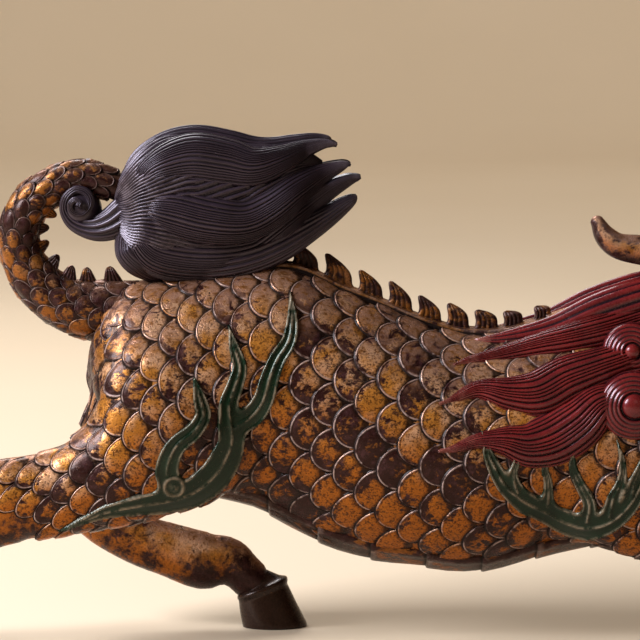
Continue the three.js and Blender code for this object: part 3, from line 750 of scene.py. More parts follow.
def flames_on(tree, strokes, knobs, side):
    """One group of flames in relief: worn edges, two channels and a raised middle line."""
    rows = np.vstack([np.array(stroke, float) for stroke in strokes])
    low, high = rows[:, :2].min(0) - FLAME_MARGIN, rows[:, :2].max(0) + FLAME_MARGIN
    skin, x_low, good = flank_patch(tree, side, low, high)
    x, z = np.meshgrid(*(np.arange(low[n], high[n], FLAME_STEP) for n in (0, 1)), indexing="ij")
    inside, off = inside_flames(strokes, x, z)
    inside = inside - FLAME_SLIM
    place, width = FLAME_EDGE_LINE
    middle = bump(off, width) * ramp(inside, *FLAME_MIDDLE_LINE)
    line = np.maximum(bump(inside - place, width), middle)
    for kx, kz, radius in knobs:
        ring = np.hypot(x - kx, z - kz) - radius
        knob = np.maximum(bump(ring, KNOB_LINES[0]), 0.9 * bump(ring + radius, KNOB_LINES[1]))
        line = np.where(ring < KNOB_CLEAR, knob, line)
        inside = np.maximum(inside, KNOB_EDGE - ring)
    rise = ramp(inside, *FLAME_SIDE)
    rise = rise * rise * (3 - 2 * rise)
    height = FLAME_BED + rise * (FLAME_FLOOR - FLAME_BED + FLAME_LINE * line)
    near = np.minimum(np.round((x - x_low) / PATCH_STEP).astype(int), good.shape[0] - 1)
    up = np.minimum(np.round((z - skin.v_low) / PATCH_STEP).astype(int), good.shape[1] - 1)
    covered = (inside > -FLAME_FOOT) & good[near, up]
    used = covered[:-1, :-1] & covered[1:, :-1] & covered[:-1, 1:] & covered[1:, 1:]
    # painted shade where the flames' sides sink into the skin
    return relief(skin, x_low, x, z, used, height, FLAME_WALL, worn=line * rise, groove=1 - rise)


STRAND_POWER = 0.6  # under 1, so strands are full and the grooves between them narrow
STRAND_DEPTH = 0.28  # depth of the grooves between the strands of a lock on the body
STRAND_DRIFT = (0.028, 2.3)  # how far strands drift sideways, and how many times across a lock
STRAND_LINE = (0.16, 0.5)  # depth of the finer line and its power
LOCK_FOOT = [(1.0, -0.45), (0.5, -0.8), (0.0, -0.9), (-0.5, -0.8), (-1.0, -0.45)]


def strand_section(strands, points_each):
    """Half round over strands of uneven width, each with a finer line along it; returns section
    pairs and how deep each point lies."""
    t = np.linspace(-1, 1, strands * points_each + 1)
    share = (t + 1) / 2
    (drift, times), (fine, power) = STRAND_DRIFT, STRAND_LINE
    phase = np.pi * strands * (share + drift * np.sin(2 * np.pi * times * share + strands))
    strand = np.abs(np.sin(phase)) ** STRAND_POWER * (1 - fine + fine * np.abs(np.cos(phase)) ** power)
    height = np.sqrt(np.maximum(1 - t ** 2, 0)) - STRAND_DEPTH * (1 - strand)
    section = np.vstack([np.stack([t, height], -1), LOCK_FOOT])
    return section, np.append(1 - strand, np.ones(len(LOCK_FOOT)))


# Locks of one side of the mane: x, z and half-width from root to tip.
MANE_LOCKS = [
    [(300, 325, 20), (272, 317, 20), (233, 308, 18), (195, 299, 14), (158, 291, 9), (128, 286, 5),
     (111, 282, 1.5)],
    [(286, 291, 18), (253, 281, 21), (224, 271, 24), (195, 257, 24), (166, 256, 18), (136, 260, 10),
     (112, 252, 5), (97, 247, 1.5)],
    [(272, 252, 16), (253, 247, 20), (234, 229, 26), (210, 214, 27), (185, 208, 23), (161, 212, 15),
     (135, 212, 8), (112, 205, 5), (96, 202, 1.5)],
]
TOP_LOCK = [  # off the body, so its third number is the distance to the middle plane
    (330, 350, 34, 22), (295, 339, 34, 25), (256, 326, 34, 24), (216, 311, 34, 19), (177, 304, 34, 13),
    (133, 303, 34, 2),
]
RUBBED_WIDTH = (9, 8)  # tips of locks on and off the body are rubbed where narrower than this
SUNK_SHARE = 0.34  # share of a lock's length over which a sunk one comes up
MANE_CURLS = [(286, 296, 29, 0.28), (286, 246, 34, 0.38)]  # x, z, radius and the knob's share of it


def mane_lock(tree, rows, side, strands=11, rise=12.5, full_at=15.0, round_over=200.0, steps=9, tip=0.55,
              sunk=0.0, points_each=9):
    """Lock laid on a body, wrapped round it; it is low where it is narrow, and may start sunk in it."""
    fine, feet, across, out = laid_frame(tree, rows, side, steps)
    section, deep = strand_section(strands, points_each)
    lift = rise * np.clip(fine[:, 2] / full_at, 0.25, 1.0)
    spread = fine[:, 2, None] * section[:, 0]
    start = 1.0 - sunk * np.clip(1 - np.linspace(0, 1, len(fine)) / SUNK_SHARE, 0, 1)[:, None]
    rings = (
        feet[:, None]
        + across[:, None] * spread[..., None]
        + out[:, None] * (lift[:, None] * section[:, 1] + start - spread ** 2 / (2 * round_over))[..., None]
    )
    worn = tip * np.clip(1 - fine[:, 2:3] / RUBBED_WIDTH[0], 0, 1)
    # painted shade between the strands, by how deep each lies
    return tube(rings, groove=deep, worn=worn)


def free_lock(rows, side, steps=8, strands=6, flatness=0.6, depth=0.16, tip_worn=0.0):
    """Lock off the body: rows of x, z, distance to the middle plane and half-width."""
    fine = smooth(rows, steps)
    middles = along_y(fine, side * fine[:, 2])
    way = headings(middles)
    across = units(np.cross(SIDEWAYS, way)) * fine[:, 3:4]
    up = np.cross(way, units(across)) * fine[:, 3:4] * flatness
    strand = np.abs(np.sin(strands * round_turns(strands * 10))) ** STRAND_POWER
    section = circle(strands * 10) * (1 - depth * (1 - strand))[:, None]
    rings = rings_of(middles, across, up, section)
    worn = tip_worn * np.clip(1 - fine[:, 3:4] / RUBBED_WIDTH[1], 0, 1)
    # painted shade between the strands
    return tube(rings, groove=1 - strand, worn=worn)


# Heights in a curl in shares of its radius, which CURL_RISE lowers: its dome, the grooves of its
# strand, and the foot and the rise of its knob. Then width and depth of the groove round the knob.
CURL_DOME, CURL_STRAND = 0.62, 0.09
CURL_KNOB = (0.42, 0.36)
CURL_RISE = 0.672
CURL_GROOVE = (0.035, 0.07)
CURL_SUNK = 0.5  # how far the curl goes on under its rim
CURL_TURNS = 5
CURL_POINTS, CURL_RINGS = 72, 40


def curl(middle, out, radius, knob, hand):
    """Dome of a strand wound to a knob. hand is 1 or -1."""
    across = units(np.cross(out, [0, 0, 1.0]))
    up = np.cross(out, across)
    share = np.linspace(1, 0.02, CURL_RINGS)[:, None]
    turn = round_turns(CURL_POINTS)
    wound = (share - knob) / (1 - knob) * CURL_TURNS + hand * turn / (2 * np.pi)
    strand = np.abs(np.sin(np.pi * wound)) ** STRAND_POWER
    ring_lift = CURL_DOME * np.sqrt(np.maximum(1 - share ** 2, 0)) + CURL_STRAND * (strand - 1)
    knob_lift = CURL_KNOB[0] + CURL_KNOB[1] * np.sqrt(np.maximum(1 - (share / knob) ** 2, 0))
    edge = bump(share - knob, CURL_GROOVE[0])
    lift = (np.where(share < knob, knob_lift, ring_lift) * CURL_RISE - edge * CURL_GROOVE[1]) * radius
    # painted shade in the strand's grooves and in the groove round the knob
    groove = np.maximum(np.where(share < knob, 0.0, 1 - strand), edge)
    around = np.cos(turn)[:, None] * across + np.sin(turn)[:, None] * up
    rings = middle + radius * share[..., None] * around + lift[..., None] * out
    root = rings[:1] - out * (lift[:1, :, None] + radius * CURL_SUNK)
    return tube(np.vstack([root, rings]), groove=np.vstack([np.ones((1, CURL_POINTS)), groove]))


# Strokes of the flames of one side: x, z and half-width.
SHOULDER_FLAMES = [
    [(138, 222, 2), (142, 208, 5), (148, 192, 8), (161, 169, 10), (181, 152, 12), (203, 141, 13),
     (223, 131, 14), (244, 126, 14), (266, 133, 12), (285, 152, 10), (298, 180, 4)],
    [(181, 150, 8), (172, 165, 8), (169, 180, 6), (172, 194, 5), (166, 213, 2)],
    [(203, 143, 8), (204, 160, 7), (203, 174, 6), (200, 186, 5), (207, 202, 2)],
    [(243, 130, 9), (245, 150, 8), (236, 168, 7), (228, 186, 6), (228, 206, 2)],
    [(264, 136, 8), (267, 155, 8), (274, 172, 6), (276, 190, 5), (270, 214, 2)],
    [(284, 155, 7), (287, 172, 6), (293, 188, 5), (299, 206, 2)],
]
HAUNCH_FLAMES = [
    [(-49, 352, 2), (-47, 327, 7), (-50, 307, 9), (-61, 290, 10), (-69, 271, 11), (-75, 251, 12),
     (-86, 236, 13), (-106, 224, 12)],
    [(-109, 322, 2), (-103, 300, 7), (-98, 282, 9), (-103, 265, 10), (-109, 249, 11), (-109, 233, 12),
     (-107, 214, 14), (-112, 197, 16), (-124, 178, 17), (-144, 162, 16), (-168, 154, 14), (-198, 149, 11),
     (-228, 143, 8), (-252, 133, 5), (-278, 121, 2)],
    [(-142, 272, 3), (-137, 252, 8), (-134, 237, 9), (-143, 222, 10), (-158, 210, 11), (-166, 197, 12),
     (-169, 182, 13), (-164, 165, 14)],
]
HAUNCH_KNOB = (-163, 168, 9)  # x, z and radius

# x of the fins of the crest, from one's foot to the next's, and how high they stand.
CREST_FEET = [-50, -18, 16, 46, 75.5, 104.5, 132, 161, 192, 222]
CREST_HEIGHTS = [21, 22, 20.5, 21.5, 19.5, 21, 18, 15, 13]
CREST_LONGEST = 1.65  # length of a fin to its height, at the most
CREST_RISE = 2.4  # height of the strip over the back
CREST_THICK, TAIL_FIN_THICK = 9.0, 10.0
CREST_STRIP = (-110.0, 264.0)  # x from which and to which the strip runs
# Edges of a fin from foot to tip: share of its length and share of its height.
CREST_FIN = (
    [(0.02, -0.4), (0.05, -0.02), (0.12, 0.16), (0.14, 0.42), (0.11, 0.68), (0.10, 0.90), (0.15, 1.0)],
    [(1.02, -0.4), (0.98, -0.02), (0.91, 0.14), (0.89, 0.42), (0.82, 0.66), (0.60, 0.88), (0.26, 1.04)],
)
TAIL_FIN = (
    [(-0.02, -0.5), (0.0, 0.0), (0.0, 0.25), (0.02, 0.55), (0.05, 0.80), (0.10, 0.95), (0.20, 1.05)],
    [(1.1, -0.5), (1.0, 0.0), (0.86, 0.20), (0.72, 0.46), (0.56, 0.74), (0.42, 0.96), (0.28, 1.06)],
)
FIN_GROOVES = (0.26, 0.47, 0.68)
FIN_GROOVE_WIDTH, FIN_GROOVE_DEPTH = 0.042, 0.26
FIN_POINTS = 33


def fin(edges, length, height, thickness, place, along, up):
    """Curled fin: rounded edges, and grooves that run up along its curl."""
    back, front = (smooth(np.array(edge) * [length, height], 3)[:, None] for edge in edges)
    across = (1 - np.cos(np.pi * np.linspace(0, 1, FIN_POINTS))) / 2
    flat = back * (1 - across[:, None]) + front * across[:, None]
    deep = sum(bump(across - groove, FIN_GROOVE_WIDTH) for groove in FIN_GROOVES)
    taper = np.clip((1 - np.arange(len(flat)) / (len(flat) - 1)) * 3.0, 0.35, 1)[:, None]
    off = np.abs(2 * across - 1)
    half = thickness / 2 * taper * ((1 - off ** 5) ** 0.5 - FIN_GROOVE_DEPTH * deep)
    sheets = [points_of(flat[..., 0], side * half, flat[..., 1]) for side in (1, -1)]
    rings = np.concatenate([sheets[0], sheets[1][:, -2:0:-1]], 1)
    # the fin's grooves are marked for painted shade, its edges for pale rubbing with a painted highlight
    groove, edge = (np.concatenate([mark, mark[-2:0:-1]]) for mark in (0.8 * deep, off ** 12))
    rings = rings @ np.array([along, SIDEWAYS, up]) + place
    return tube(rings, groove=groove, rim=edge, edge=edge, tone=0.45)


def back_line(x):
    middle, tall, _ = trunk_at(x)
    return middle + tall


def crest():
    shapes = []
    for x, after, height in zip(CREST_FEET, CREST_FEET[1:], CREST_HEIGHTS):
        z = back_line(x)
        along = (1, 0, (back_line(after) - z) / (after - x))
        length = min(after - x, CREST_LONGEST * height)
        foot = [x, 0, z + CREST_RISE - 1.0]
        shapes.append(fin(CREST_FIN, length, height, CREST_THICK, foot, along, (0, 0, 1)))
    return shapes


CREST_SIDE = [  # distance to the middle plane, height over the back's skin, how pale and how dark
    (0, 0, 0, 0), (2.5, 0, 0, 0), (4.6, -0.7, 0, 0.2), (8, -0.8, 0, 0), (12, -0.5, 0, 0),
    (15.5, -0.2, 0, 0.1), (17.5, -0.4, 0, 0.7), (18.4, 0.9, 0.8, 0), (19.4, 1.6, 1, 0),
    (20.4, 1.0, 0.8, 0), (21.2, -1.5, 0, 1), (21.8, -7, 0, 1),
]


def crest_cord():
    """Strip that bears the fins, with a raised cord along each side."""
    x = np.arange(*CREST_STRIP, 3.0)
    middle, tall, wide = (size[:, None] for size in trunk_at(x))
    half = np.array(CREST_SIDE, float)
    side = np.vstack([half, half[:0:-1] * [-1, 1, 1, 1]])
    y = side[:, 0]
    z = middle + tall * np.sqrt(1 - (y / wide) ** 2) + side[:, 1] + CREST_RISE
    # the cord's top is rubbed pale with a painted highlight; the grooves beside it get painted shade
    return tube(points_of(x[:, None], y, z), rim=side[:, 2], groove=side[:, 3], tone=0.7)


# Fins inside the tail's loop: shares of the tail's length at the first and the last, and their
# length and height there.
TAIL_FINS = 7
TAIL_FIN_SPAN = (0.118, 0.668)
TAIL_FIN_LENGTH, TAIL_FIN_HEIGHT = (22, 16), (16, 10)
TAIL_RIB_SPAN = (0.13, 0.76)
TAIL_RIB_PLACE = 0.94  # in shares of the tail's radius
TAIL_RIB = (6.0, 5.0)  # half-width and half-height


def tail_teeth():
    """Fins on the inner side of the tail's loop, on a rib of their own."""
    fine = smooth(TAIL_ROWS, 12)
    middles, radii = along_y(fine[:, :2]), fine[:, 2]
    length = lengths(middles)
    shapes = []
    for share in np.linspace(*TAIL_FIN_SPAN, TAIL_FINS):
        long, tall = (np.interp(share, TAIL_FIN_SPAN, ends) for ends in (TAIL_FIN_LENGTH, TAIL_FIN_HEIGHT))
        at = share * length[-1]
        middle, ahead = between([at, at + 2], length, middles)
        way = units(ahead - middle)
        inward = np.cross(SIDEWAYS, way)
        foot = middle + inward * np.interp(at, length, radii) + way * long / 2
        shapes.append(fin(TAIL_FIN, long, tall, TAIL_FIN_THICK, foot, -way, inward))
    first, last = (np.searchsorted(length, share * length[-1]) for share in TAIL_RIB_SPAN)
    inward = np.cross(SIDEWAYS, headings(middles)[first:last])
    rib = middles[first:last] + inward * (radii[first:last, None] * TAIL_RIB_PLACE)
    wide, tall = TAIL_RIB
    # the rib is rubbed pale with a painted highlight through the rim mark
    return shapes + [tube(rings_of(rib, SIDEWAYS[None] * wide, inward * tall, circle(12)), rim=0.4)]


TUFT_STRANDS = 78
TUFT_DEPTH = 4.2  # depth of the grooves between the strands
# By x: how the strands sweep, how they crowd, how far they are rubbed pale, and the share of its
# size that the tuft's body fills.
TUFT_SWEEP = [(-222, 0.0), (-190, -0.10), (-140, -0.16), (-90, 0.0), (-20, 0.5)]
TUFT_FAN = [(-222, 0.75), (-190, 0.45), (-150, -0.1), (-110, -0.3), (-60, -0.2)]
TUFT_RUBBED = [(-225, 1.0), (-180, 0.8), (-140, 0.1), (-60, 0.0)]
TUFT_FILL = [(-205, 1.0), (-165, 0.92), (-100, 0.9)]
# Locks of one side of the tuft: x, z and half-width from the knot to the tip.
TUFT_LOCKS = [
    [(-212, 437, 4), (-202, 455, 9), (-186, 474, 17), (-150, 486, 26), (-114, 482, 26), (-86, 476, 21),
     (-60, 482, 16), (-36, 492, 10), (-18, 497, 6), (-8, 497, 3.5), (-3, 495, 1)],
    [(-212, 432, 4), (-196, 436, 12), (-166, 432, 24), (-130, 424, 25), (-94, 422, 22), (-66, 434, 20),
     (-40, 454, 16), (-16, 468, 10), (0, 475, 6), (7, 477, 3.5), (11, 476, 1)],
    [(-212, 424, 5), (-202, 406, 15), (-180, 386, 26), (-138, 381, 28), (-94, 388, 24), (-66, 404, 19),
     (-40, 426, 16), (-14, 448, 12), (6, 460, 8), (17, 464, 4), (21, 465, 1)],
    [(-213, 430, 5), (-216, 412, 10), (-212, 392, 14), (-198, 376, 14), (-180, 366, 11), (-160, 362, 6),
     (-146, 360, 1.5)],
]
TUFT_LOCK_STRANDS = (16, 16, 17, 9)
TUFT_LAID = {"rise": 11.0, "full_at": 20.0, "round_over": 70.0, "steps": 6, "tip": 0.5, "sunk": 15.0,
             "points_each": 7}
TUFT_FREE = {"strands": 9, "tip_worn": 0.5}
# Locks of the tuft off its body: x, z, distance to the middle plane and half-width.
TUFT_LOW_LOCK = [
    (-190, 384, 10, 12), (-150, 380, 16, 18), (-116, 381, 19, 20), (-84, 388, 19, 19),
    (-58, 399, 18, 18), (-36, 411, 15, 15), (-14, 424, 13, 11.5), (4, 436, 12, 8), (13, 442, 12, 5),
    (17, 445, 12, 1.5),
]
TUFT_BACK_LOCK = [
    (-214, 452, 0, 7), (-207, 468, 0, 9), (-197, 482, 0, 11), (-180, 493, 0, 13), (-160, 499, 0, 15),
    (-138, 500, 0, 16), (-110, 495, 0, 16), (-86, 490, 0, 15), (-66, 491, 0, 13), (-46, 495, 0, 11.5),
    (-26, 499, 0, 9), (-13, 501, 0, 5), (-8, 500, 0, 1.5),
]


def tuft():
    """Full tuft: a furrowed body, and locks that sweep over it and part at its end."""
    rows = smooth(TUFT, 8)
    turn = round_turns(TUFT_STRANDS * 6)
    tables = (TUFT_SWEEP, TUFT_FAN, TUFT_RUBBED, TUFT_FILL)
    sweep, spread, rubbed, fill = (table(pairs, rows[:, :1]) for pairs in tables)
    label = turn - sweep * np.cos(turn) + spread / 2 * np.sin(2 * turn)
    strand = np.abs(np.sin(label * TUFT_STRANDS / 2 + 0.9 * np.sin(5 * label))) ** 0.8

    def swollen(lift):
        y = np.cos(turn) * (rows[:, 3:4] * fill + lift)
        z = rows[:, 1:2] + np.sin(turn) * (rows[:, 2:3] * fill + lift)
        return points_of(rows[:, :1], y, z)

    ridge = 0.6 * ramp(strand, 0.8, 0.2) * rubbed
    # painted shade in the furrows between the strands
    body = tube(swollen(-TUFT_DEPTH * (1 - strand)), groove=1 - strand, worn=ridge)
    tree = tree_of(tube(swollen(-1.0)))
    locks = []
    for side in (-1, 1):
        for rows, strands in zip(TUFT_LOCKS, TUFT_LOCK_STRANDS):
            locks.append(mane_lock(tree, rows, side, strands, **TUFT_LAID))
        locks.append(free_lock(TUFT_LOW_LOCK, side, flatness=0.9, **TUFT_FREE))
    locks.append(free_lock(TUFT_BACK_LOCK, 1, flatness=0.8, **TUFT_FREE))
    return [body], locks


# Snail of the tail's end: x, z and half-width from the tuft's knot inward.
TAIL_SNAIL = [
    (-210, 430, 19), (-225, 419, 17), (-240, 414, 14), (-254, 415, 10.5), (-266, 421, 8),
    (-273, 432, 5.5), (-271, 444, 5), (-262, 452, 4.5), (-252, 450, 4.5), (-247, 442, 4.5),
    (-250, 433, 4), (-257, 428, 3.5), (-265, 431, 3.5), (-267, 438, 3), (-262, 443, 3), (-257, 440, 3),
    (-259, 436, 3),
]
SNAIL_PLACE = [(0, 12), (4, 12), (16, 27)]  # its rows and their distance to the middle plane
SNAIL_BED = (-257, 432, 4, 20)  # ball that fills it: x, z, distance to the middle plane and radius


def tail_curls():
    """A strand wound into a snail on each side of the tail's end."""
    rows = [(x, z, table(SNAIL_PLACE, n), wide) for n, (x, z, wide) in enumerate(TAIL_SNAIL)]
    snails = [free_lock(rows, side, steps=7, flatness=1.15, depth=0.3) for side in (1, -1)]
    return snails + balls(*SNAIL_BED, around=32)


HOOF_RINGS = [  # x, z, toe-ward half-axis in x and z, half-width, from the sole up
    (0, 0, 34, 0, 27), (-1, 5, 34, 1, 28), (-7, 21, 30, 5, 25), (-12, 36, 26, 9, 22),
    (-12.5, 39, 27, 9.5, 23), (-13, 42, 26, 10, 22), (-14.5, 45, 20, 8.5, 16), (-18, 54, 11, 5, 9),
]
SOLE_TRIM = 1.35  # the hooves are let down by this and cut flat at the ground
CORONET = 37.5  # height of the groove over the hoof
HEEL_NOTCH = (0.1, 0.35)  # depth in shares of the half-axes, and width in radians
DARK_PASTERN = 70.0  # the legs are darker about this near to their soles


def hoof(x, z, side, tip):
    rows = np.vstack([smooth(HOOF_RINGS[:4], 6), smooth(HOOF_RINGS[4:], 5)])
    cos, sin = math.cos(tip), math.sin(tip)
    turn = np.array([[cos, 0, sin], [0, 1, 0], [-sin, 0, cos]])
    middles = along_y(rows[:, :2] - [0, SOLE_TRIM]) @ turn.T + [x, side * LEG_PLACE, z]
    across = along_y(rows[:, 2:4]) @ turn.T
    depth, width = HEEL_NOTCH
    notch = 1 - depth * bump(round_turns(48) - np.pi, width)
    rings = rings_of(middles, across, SIDEWAYS * rows[:, 4:5], circle(48) * notch[:, None])
    # painted shade in the groove at the coronet
    item = tube(rings, (middles[0], middles[-1]), groove=bump(rows[:, 1:2] - CORONET, 2.0))
    item["verts"][:, 2] = np.maximum(item["verts"][:, 2], 0.0)
    return item


# Head: forms as the body's, then the horn as the tail; balls of x, z, distance to the middle plane
# and radius; and locks as those off the tuft's body.
SKULL = [
    (318, 312, 30, 30), (336, 318, 50, 43), (360, 323, 57, 50), (384, 320, 54, 49), (406, 314, 46, 43),
    (430, 306, 36, 37), (462, 303, 28, 32), (492, 306, 25, 32), (508, 307, 17, 24),
]
JAW = [
    (345, 272, 26, 34), (372, 255, 20, 32), (404, 244, 16, 30), (440, 240, 14, 27), (470, 243, 13, 24),
    (484, 247, 9, 17),
]
TONGUE = [(396, 262, 8, 14), (430, 258, 7, 15), (458, 262, 6, 12), (472, 268, 4, 7)]
HORN = [
    (257, 419, 7), (265, 405, 11), (278, 395, 13), (300, 391, 15), (336, 387, 17), (366, 372, 20),
    (384, 352, 22),
]
SOCKET, LID = (414, 331, 31, 16.25), (415, 340, 38, 11.7)
EYEBALL, PUPIL = (417, 331, 39, 10.4), (419.5, 331.5, 46, 5.85)
NOSTRIL = (498, 322, 17, 14)
CHEEK = (372, 288, 34, 26)
BROW = [(438, 331, 27, 6), (424, 348, 33, 9), (396, 358, 37, 11), (370, 368, 42, 8), (346, 384, 50, 3)]
EAR = [(352, 322, 44, 9), (338, 326, 52, 13), (318, 325, 60, 11), (299, 321, 67, 3)]
WHISKER = [(452, 292, 33, 6), (428, 276, 42, 8), (400, 272, 50, 8), (378, 266, 55, 6), (360, 262, 58, 2)]
CHIN_LOCK = [(462, 236, 0, 13), (440, 214, 0, 16), (414, 196, 0, 12), (400, 182, 0, 8), (390, 170, 0, 3)]
CHEEK_LOCKS = [
    [(430, 236, 8, 12), (408, 226, 17, 15), (388, 218, 24, 15), (364, 202, 37, 9), (344, 184, 48, 3)],
    [(372, 250, 26, 15), (340, 230, 50, 18), (322, 210, 66, 12), (306, 190, 78, 3)],
]


def balls(x, z, y, radius, around=24):
    """A ball on each side of the middle plane."""
    turns = np.pi * np.arange(1, around // 2)[:, None] / (around // 2)
    sine, turn = np.sin(turns), round_turns(around)
    rings = radius * points_of(sine * np.cos(turn), sine * np.sin(turn), np.cos(turns))
    pole = np.array([0, 0, radius * 0.03])
    shapes = []
    for side in (1, -1):
        placed = rings + [x, side * y, z]
        shapes.append(tube(placed, (placed[0].mean(0) + pole, placed[-1].mean(0) - pole)))
    return shapes


def head_forms():
    forms = [form(SKULL, 5, 32), form(JAW, 5, 24), form(TONGUE, 4, 16)]
    for ball in (NOSTRIL, CHEEK, SOCKET, LID):
        forms += balls(*ball)
    return forms


TOOTH_SPAN = (410, 488)
TOOTH_STEP = 8.5
TOOTH = (3.4, 7.0)  # radius and length
FANG = (4.2, 15.0)
FANG_PLACE = 470
TOOTH_INSET = 7  # from the jaw's widest line
GUMS = ((283, -1, SKULL), (257, 1, JAW))  # height, way of the teeth and rows of the jaw


def teeth():
    """Two rows of pegs in each jaw, with a longer fang near the front."""
    shapes = []
    for gum, way, rows in GUMS:
        for x in np.arange(*TOOTH_SPAN, TOOTH_STEP):
            y = np.interp(x, [row[0] for row in rows], [row[3] for row in rows]) - TOOTH_INSET
            wide, long = FANG if abs(x - FANG_PLACE) < TOOTH_STEP / 2 else TOOTH
            peg = [(x, gum - way * 4, wide), (x, gum, wide), (x - 0.8, gum + way * long, wide * 0.25)]
            shapes += [form(peg, 3, 10, side * y) for side in (1, -1)]
    return shapes


def horn():
    rows = smooth(HORN, 10)
    middles = along_y(rows[:, :2])
    up = np.cross(headings(middles), SIDEWAYS) * rows[:, 2:3]
    rings = rings_of(*rounded_ends(middles, SIDEWAYS * rows[:, 2:3], up, reach=0.9), circle(32))
    top_and_foot = circle(32)[:, 1] ** 2
    # the horn's sides are rubbed pale with a painted highlight through the rim mark
    return tube(rings, edge=top_and_foot, rim=0.25 * (1 - top_and_foot))


WHITE = (1.0, 1.0, 1.0)


class Paint:
    """Short names for the shader nodes of one material."""

    def __init__(self, name):
        self.material = bpy.data.materials.new(name)
        self.material.use_nodes = True
        self.nodes = self.material.node_tree.nodes
        self.links = self.material.node_tree.links
        self.shader = self.nodes["Principled BSDF"]
        self.place = self.nodes.new("ShaderNodeTexCoord").outputs["Object"]

    def join(self, value, socket):
        if isinstance(value, bpy.types.NodeSocket):
            self.links.new(value, socket)
        else:
            socket.default_value = value + (1.0,) if socket.type == "RGBA" else value

    def node(self, kind, inputs, output, **settings):
        """One output of a new node, with its settings and its inputs by name or number."""
        node = self.nodes.new("ShaderNode" + kind)
        for name, value in settings.items():
            setattr(node, name, value)
        for name, value in inputs.items():
            self.join(value, node.inputs[name])
        return node.outputs[output]

    def math(self, operation, a, b):
        return self.node("Math", {0: a, 1: b}, 0, operation=operation)

    def times(self, a, b):
        return self.math("MULTIPLY", a, b)

    def total(self, start, *terms):
        """Sum of a start and of terms, each a value and its factor."""
        for value, factor in terms:
            start = self.math("ADD", start, self.times(value, factor))
        return start

    def mark(self, name):
        return self.node("Attribute", {}, "Fac", attribute_name=name)

    def noise(self, size, detail=3.0, rough=0.55, seed=0.0, bend=0.0, stretch=1.0):
        """Clouds with features of about so many metres, from 0 to 1, stretched along x."""
        place = self.node("VectorMath", {0: self.place, 1: (1 / stretch, 1, 1)}, 0, operation="MULTIPLY")
        inputs = {"Vector": place, "Scale": 1 / size, "Detail": detail, "Roughness": rough, "W": seed,
                  "Distortion": bend}
        return self.node("TexNoise", inputs, "Fac", noise_dimensions="4D")

    def step(self, value, low, high):
        """Smooth step from 0 at low to 1 at high."""
        inputs = {"Value": value, "From Min": low, "From Max": high}
        return self.node("MapRange", inputs, "Result", interpolation_type="SMOOTHSTEP")

    def mix(self, share, a, b):
        return self.node("Mix", {"Factor": share, "A": a, "B": b}, "Result", data_type="RGBA")

    def normal_up(self):
        return self.node("SeparateXYZ", {0: self.node("NewGeometry", {}, "Normal")}, "Z")

    def finish(self, colour, roughness, metallic=0.0, coat=0.0, coat_roughness=0.12, height=None, depth=0.0,
               gloss=0.25, tint=WHITE):
        for name, value in (
            ("Base Color", colour), ("Specular Tint", tint), ("Roughness", roughness), ("Metallic", metallic),
            ("Specular IOR Level", gloss), ("Coat Weight", coat), ("Coat Roughness", coat_roughness),
        ):
            self.join(value, self.shader.inputs[name])
        if height is not None:
            inputs = {"Height": height, "Distance": depth, "Strength": 1.0}
            self.links.new(self.node("Bump", inputs, "Normal"), self.shader.inputs["Normal"])
        return self.material


LACQUER = (0.0135, 0.0036, 0.003)
RUBBED_LACQUER = (0.045, 0.0165, 0.0175)
GOLD = (0.42, 0.165, 0.026)
# darker, more orange gold: painted shade and warm reflected light on faces turned down
UNDERSIDE_SHADE_GOLD = (0.30, 0.088, 0.010)
PALE_GOLD = (0.56, 0.31, 0.17)
OLD_GOLD = (0.15, 0.052, 0.010)
BACK_GOLD = (0.30, 0.152, 0.098)
# pale rims: partly rubbed gilding, partly a painted highlight along the raised rims
RIM_WEAR_AND_HIGHLIGHT = (0.40, 0.28, 0.24)
# painted shade: near black for the grooves and for the strips beside rims that lie over a plate
PAINTED_SHADE = (0.003, 0.0015, 0.0015)
# painted warm reflection: reflections are tinted as if warm surroundings were mirrored in them
WARM_SHINE = (1.0, 0.65, 0.54)

# How gilding wears: stretch of its finest marks, weight of each scale's tone and of edges, the
# level at which gold gives way to lacquer, how softly it does, and how dark its pits are.
SCALE_WEAR = (1.8, 0.20, 0.12, 0.91, 0.05, 0.7)
SMOOTH_WEAR = (1.0, 0.0, 0.35, 0.86, 0.09, 0.3)


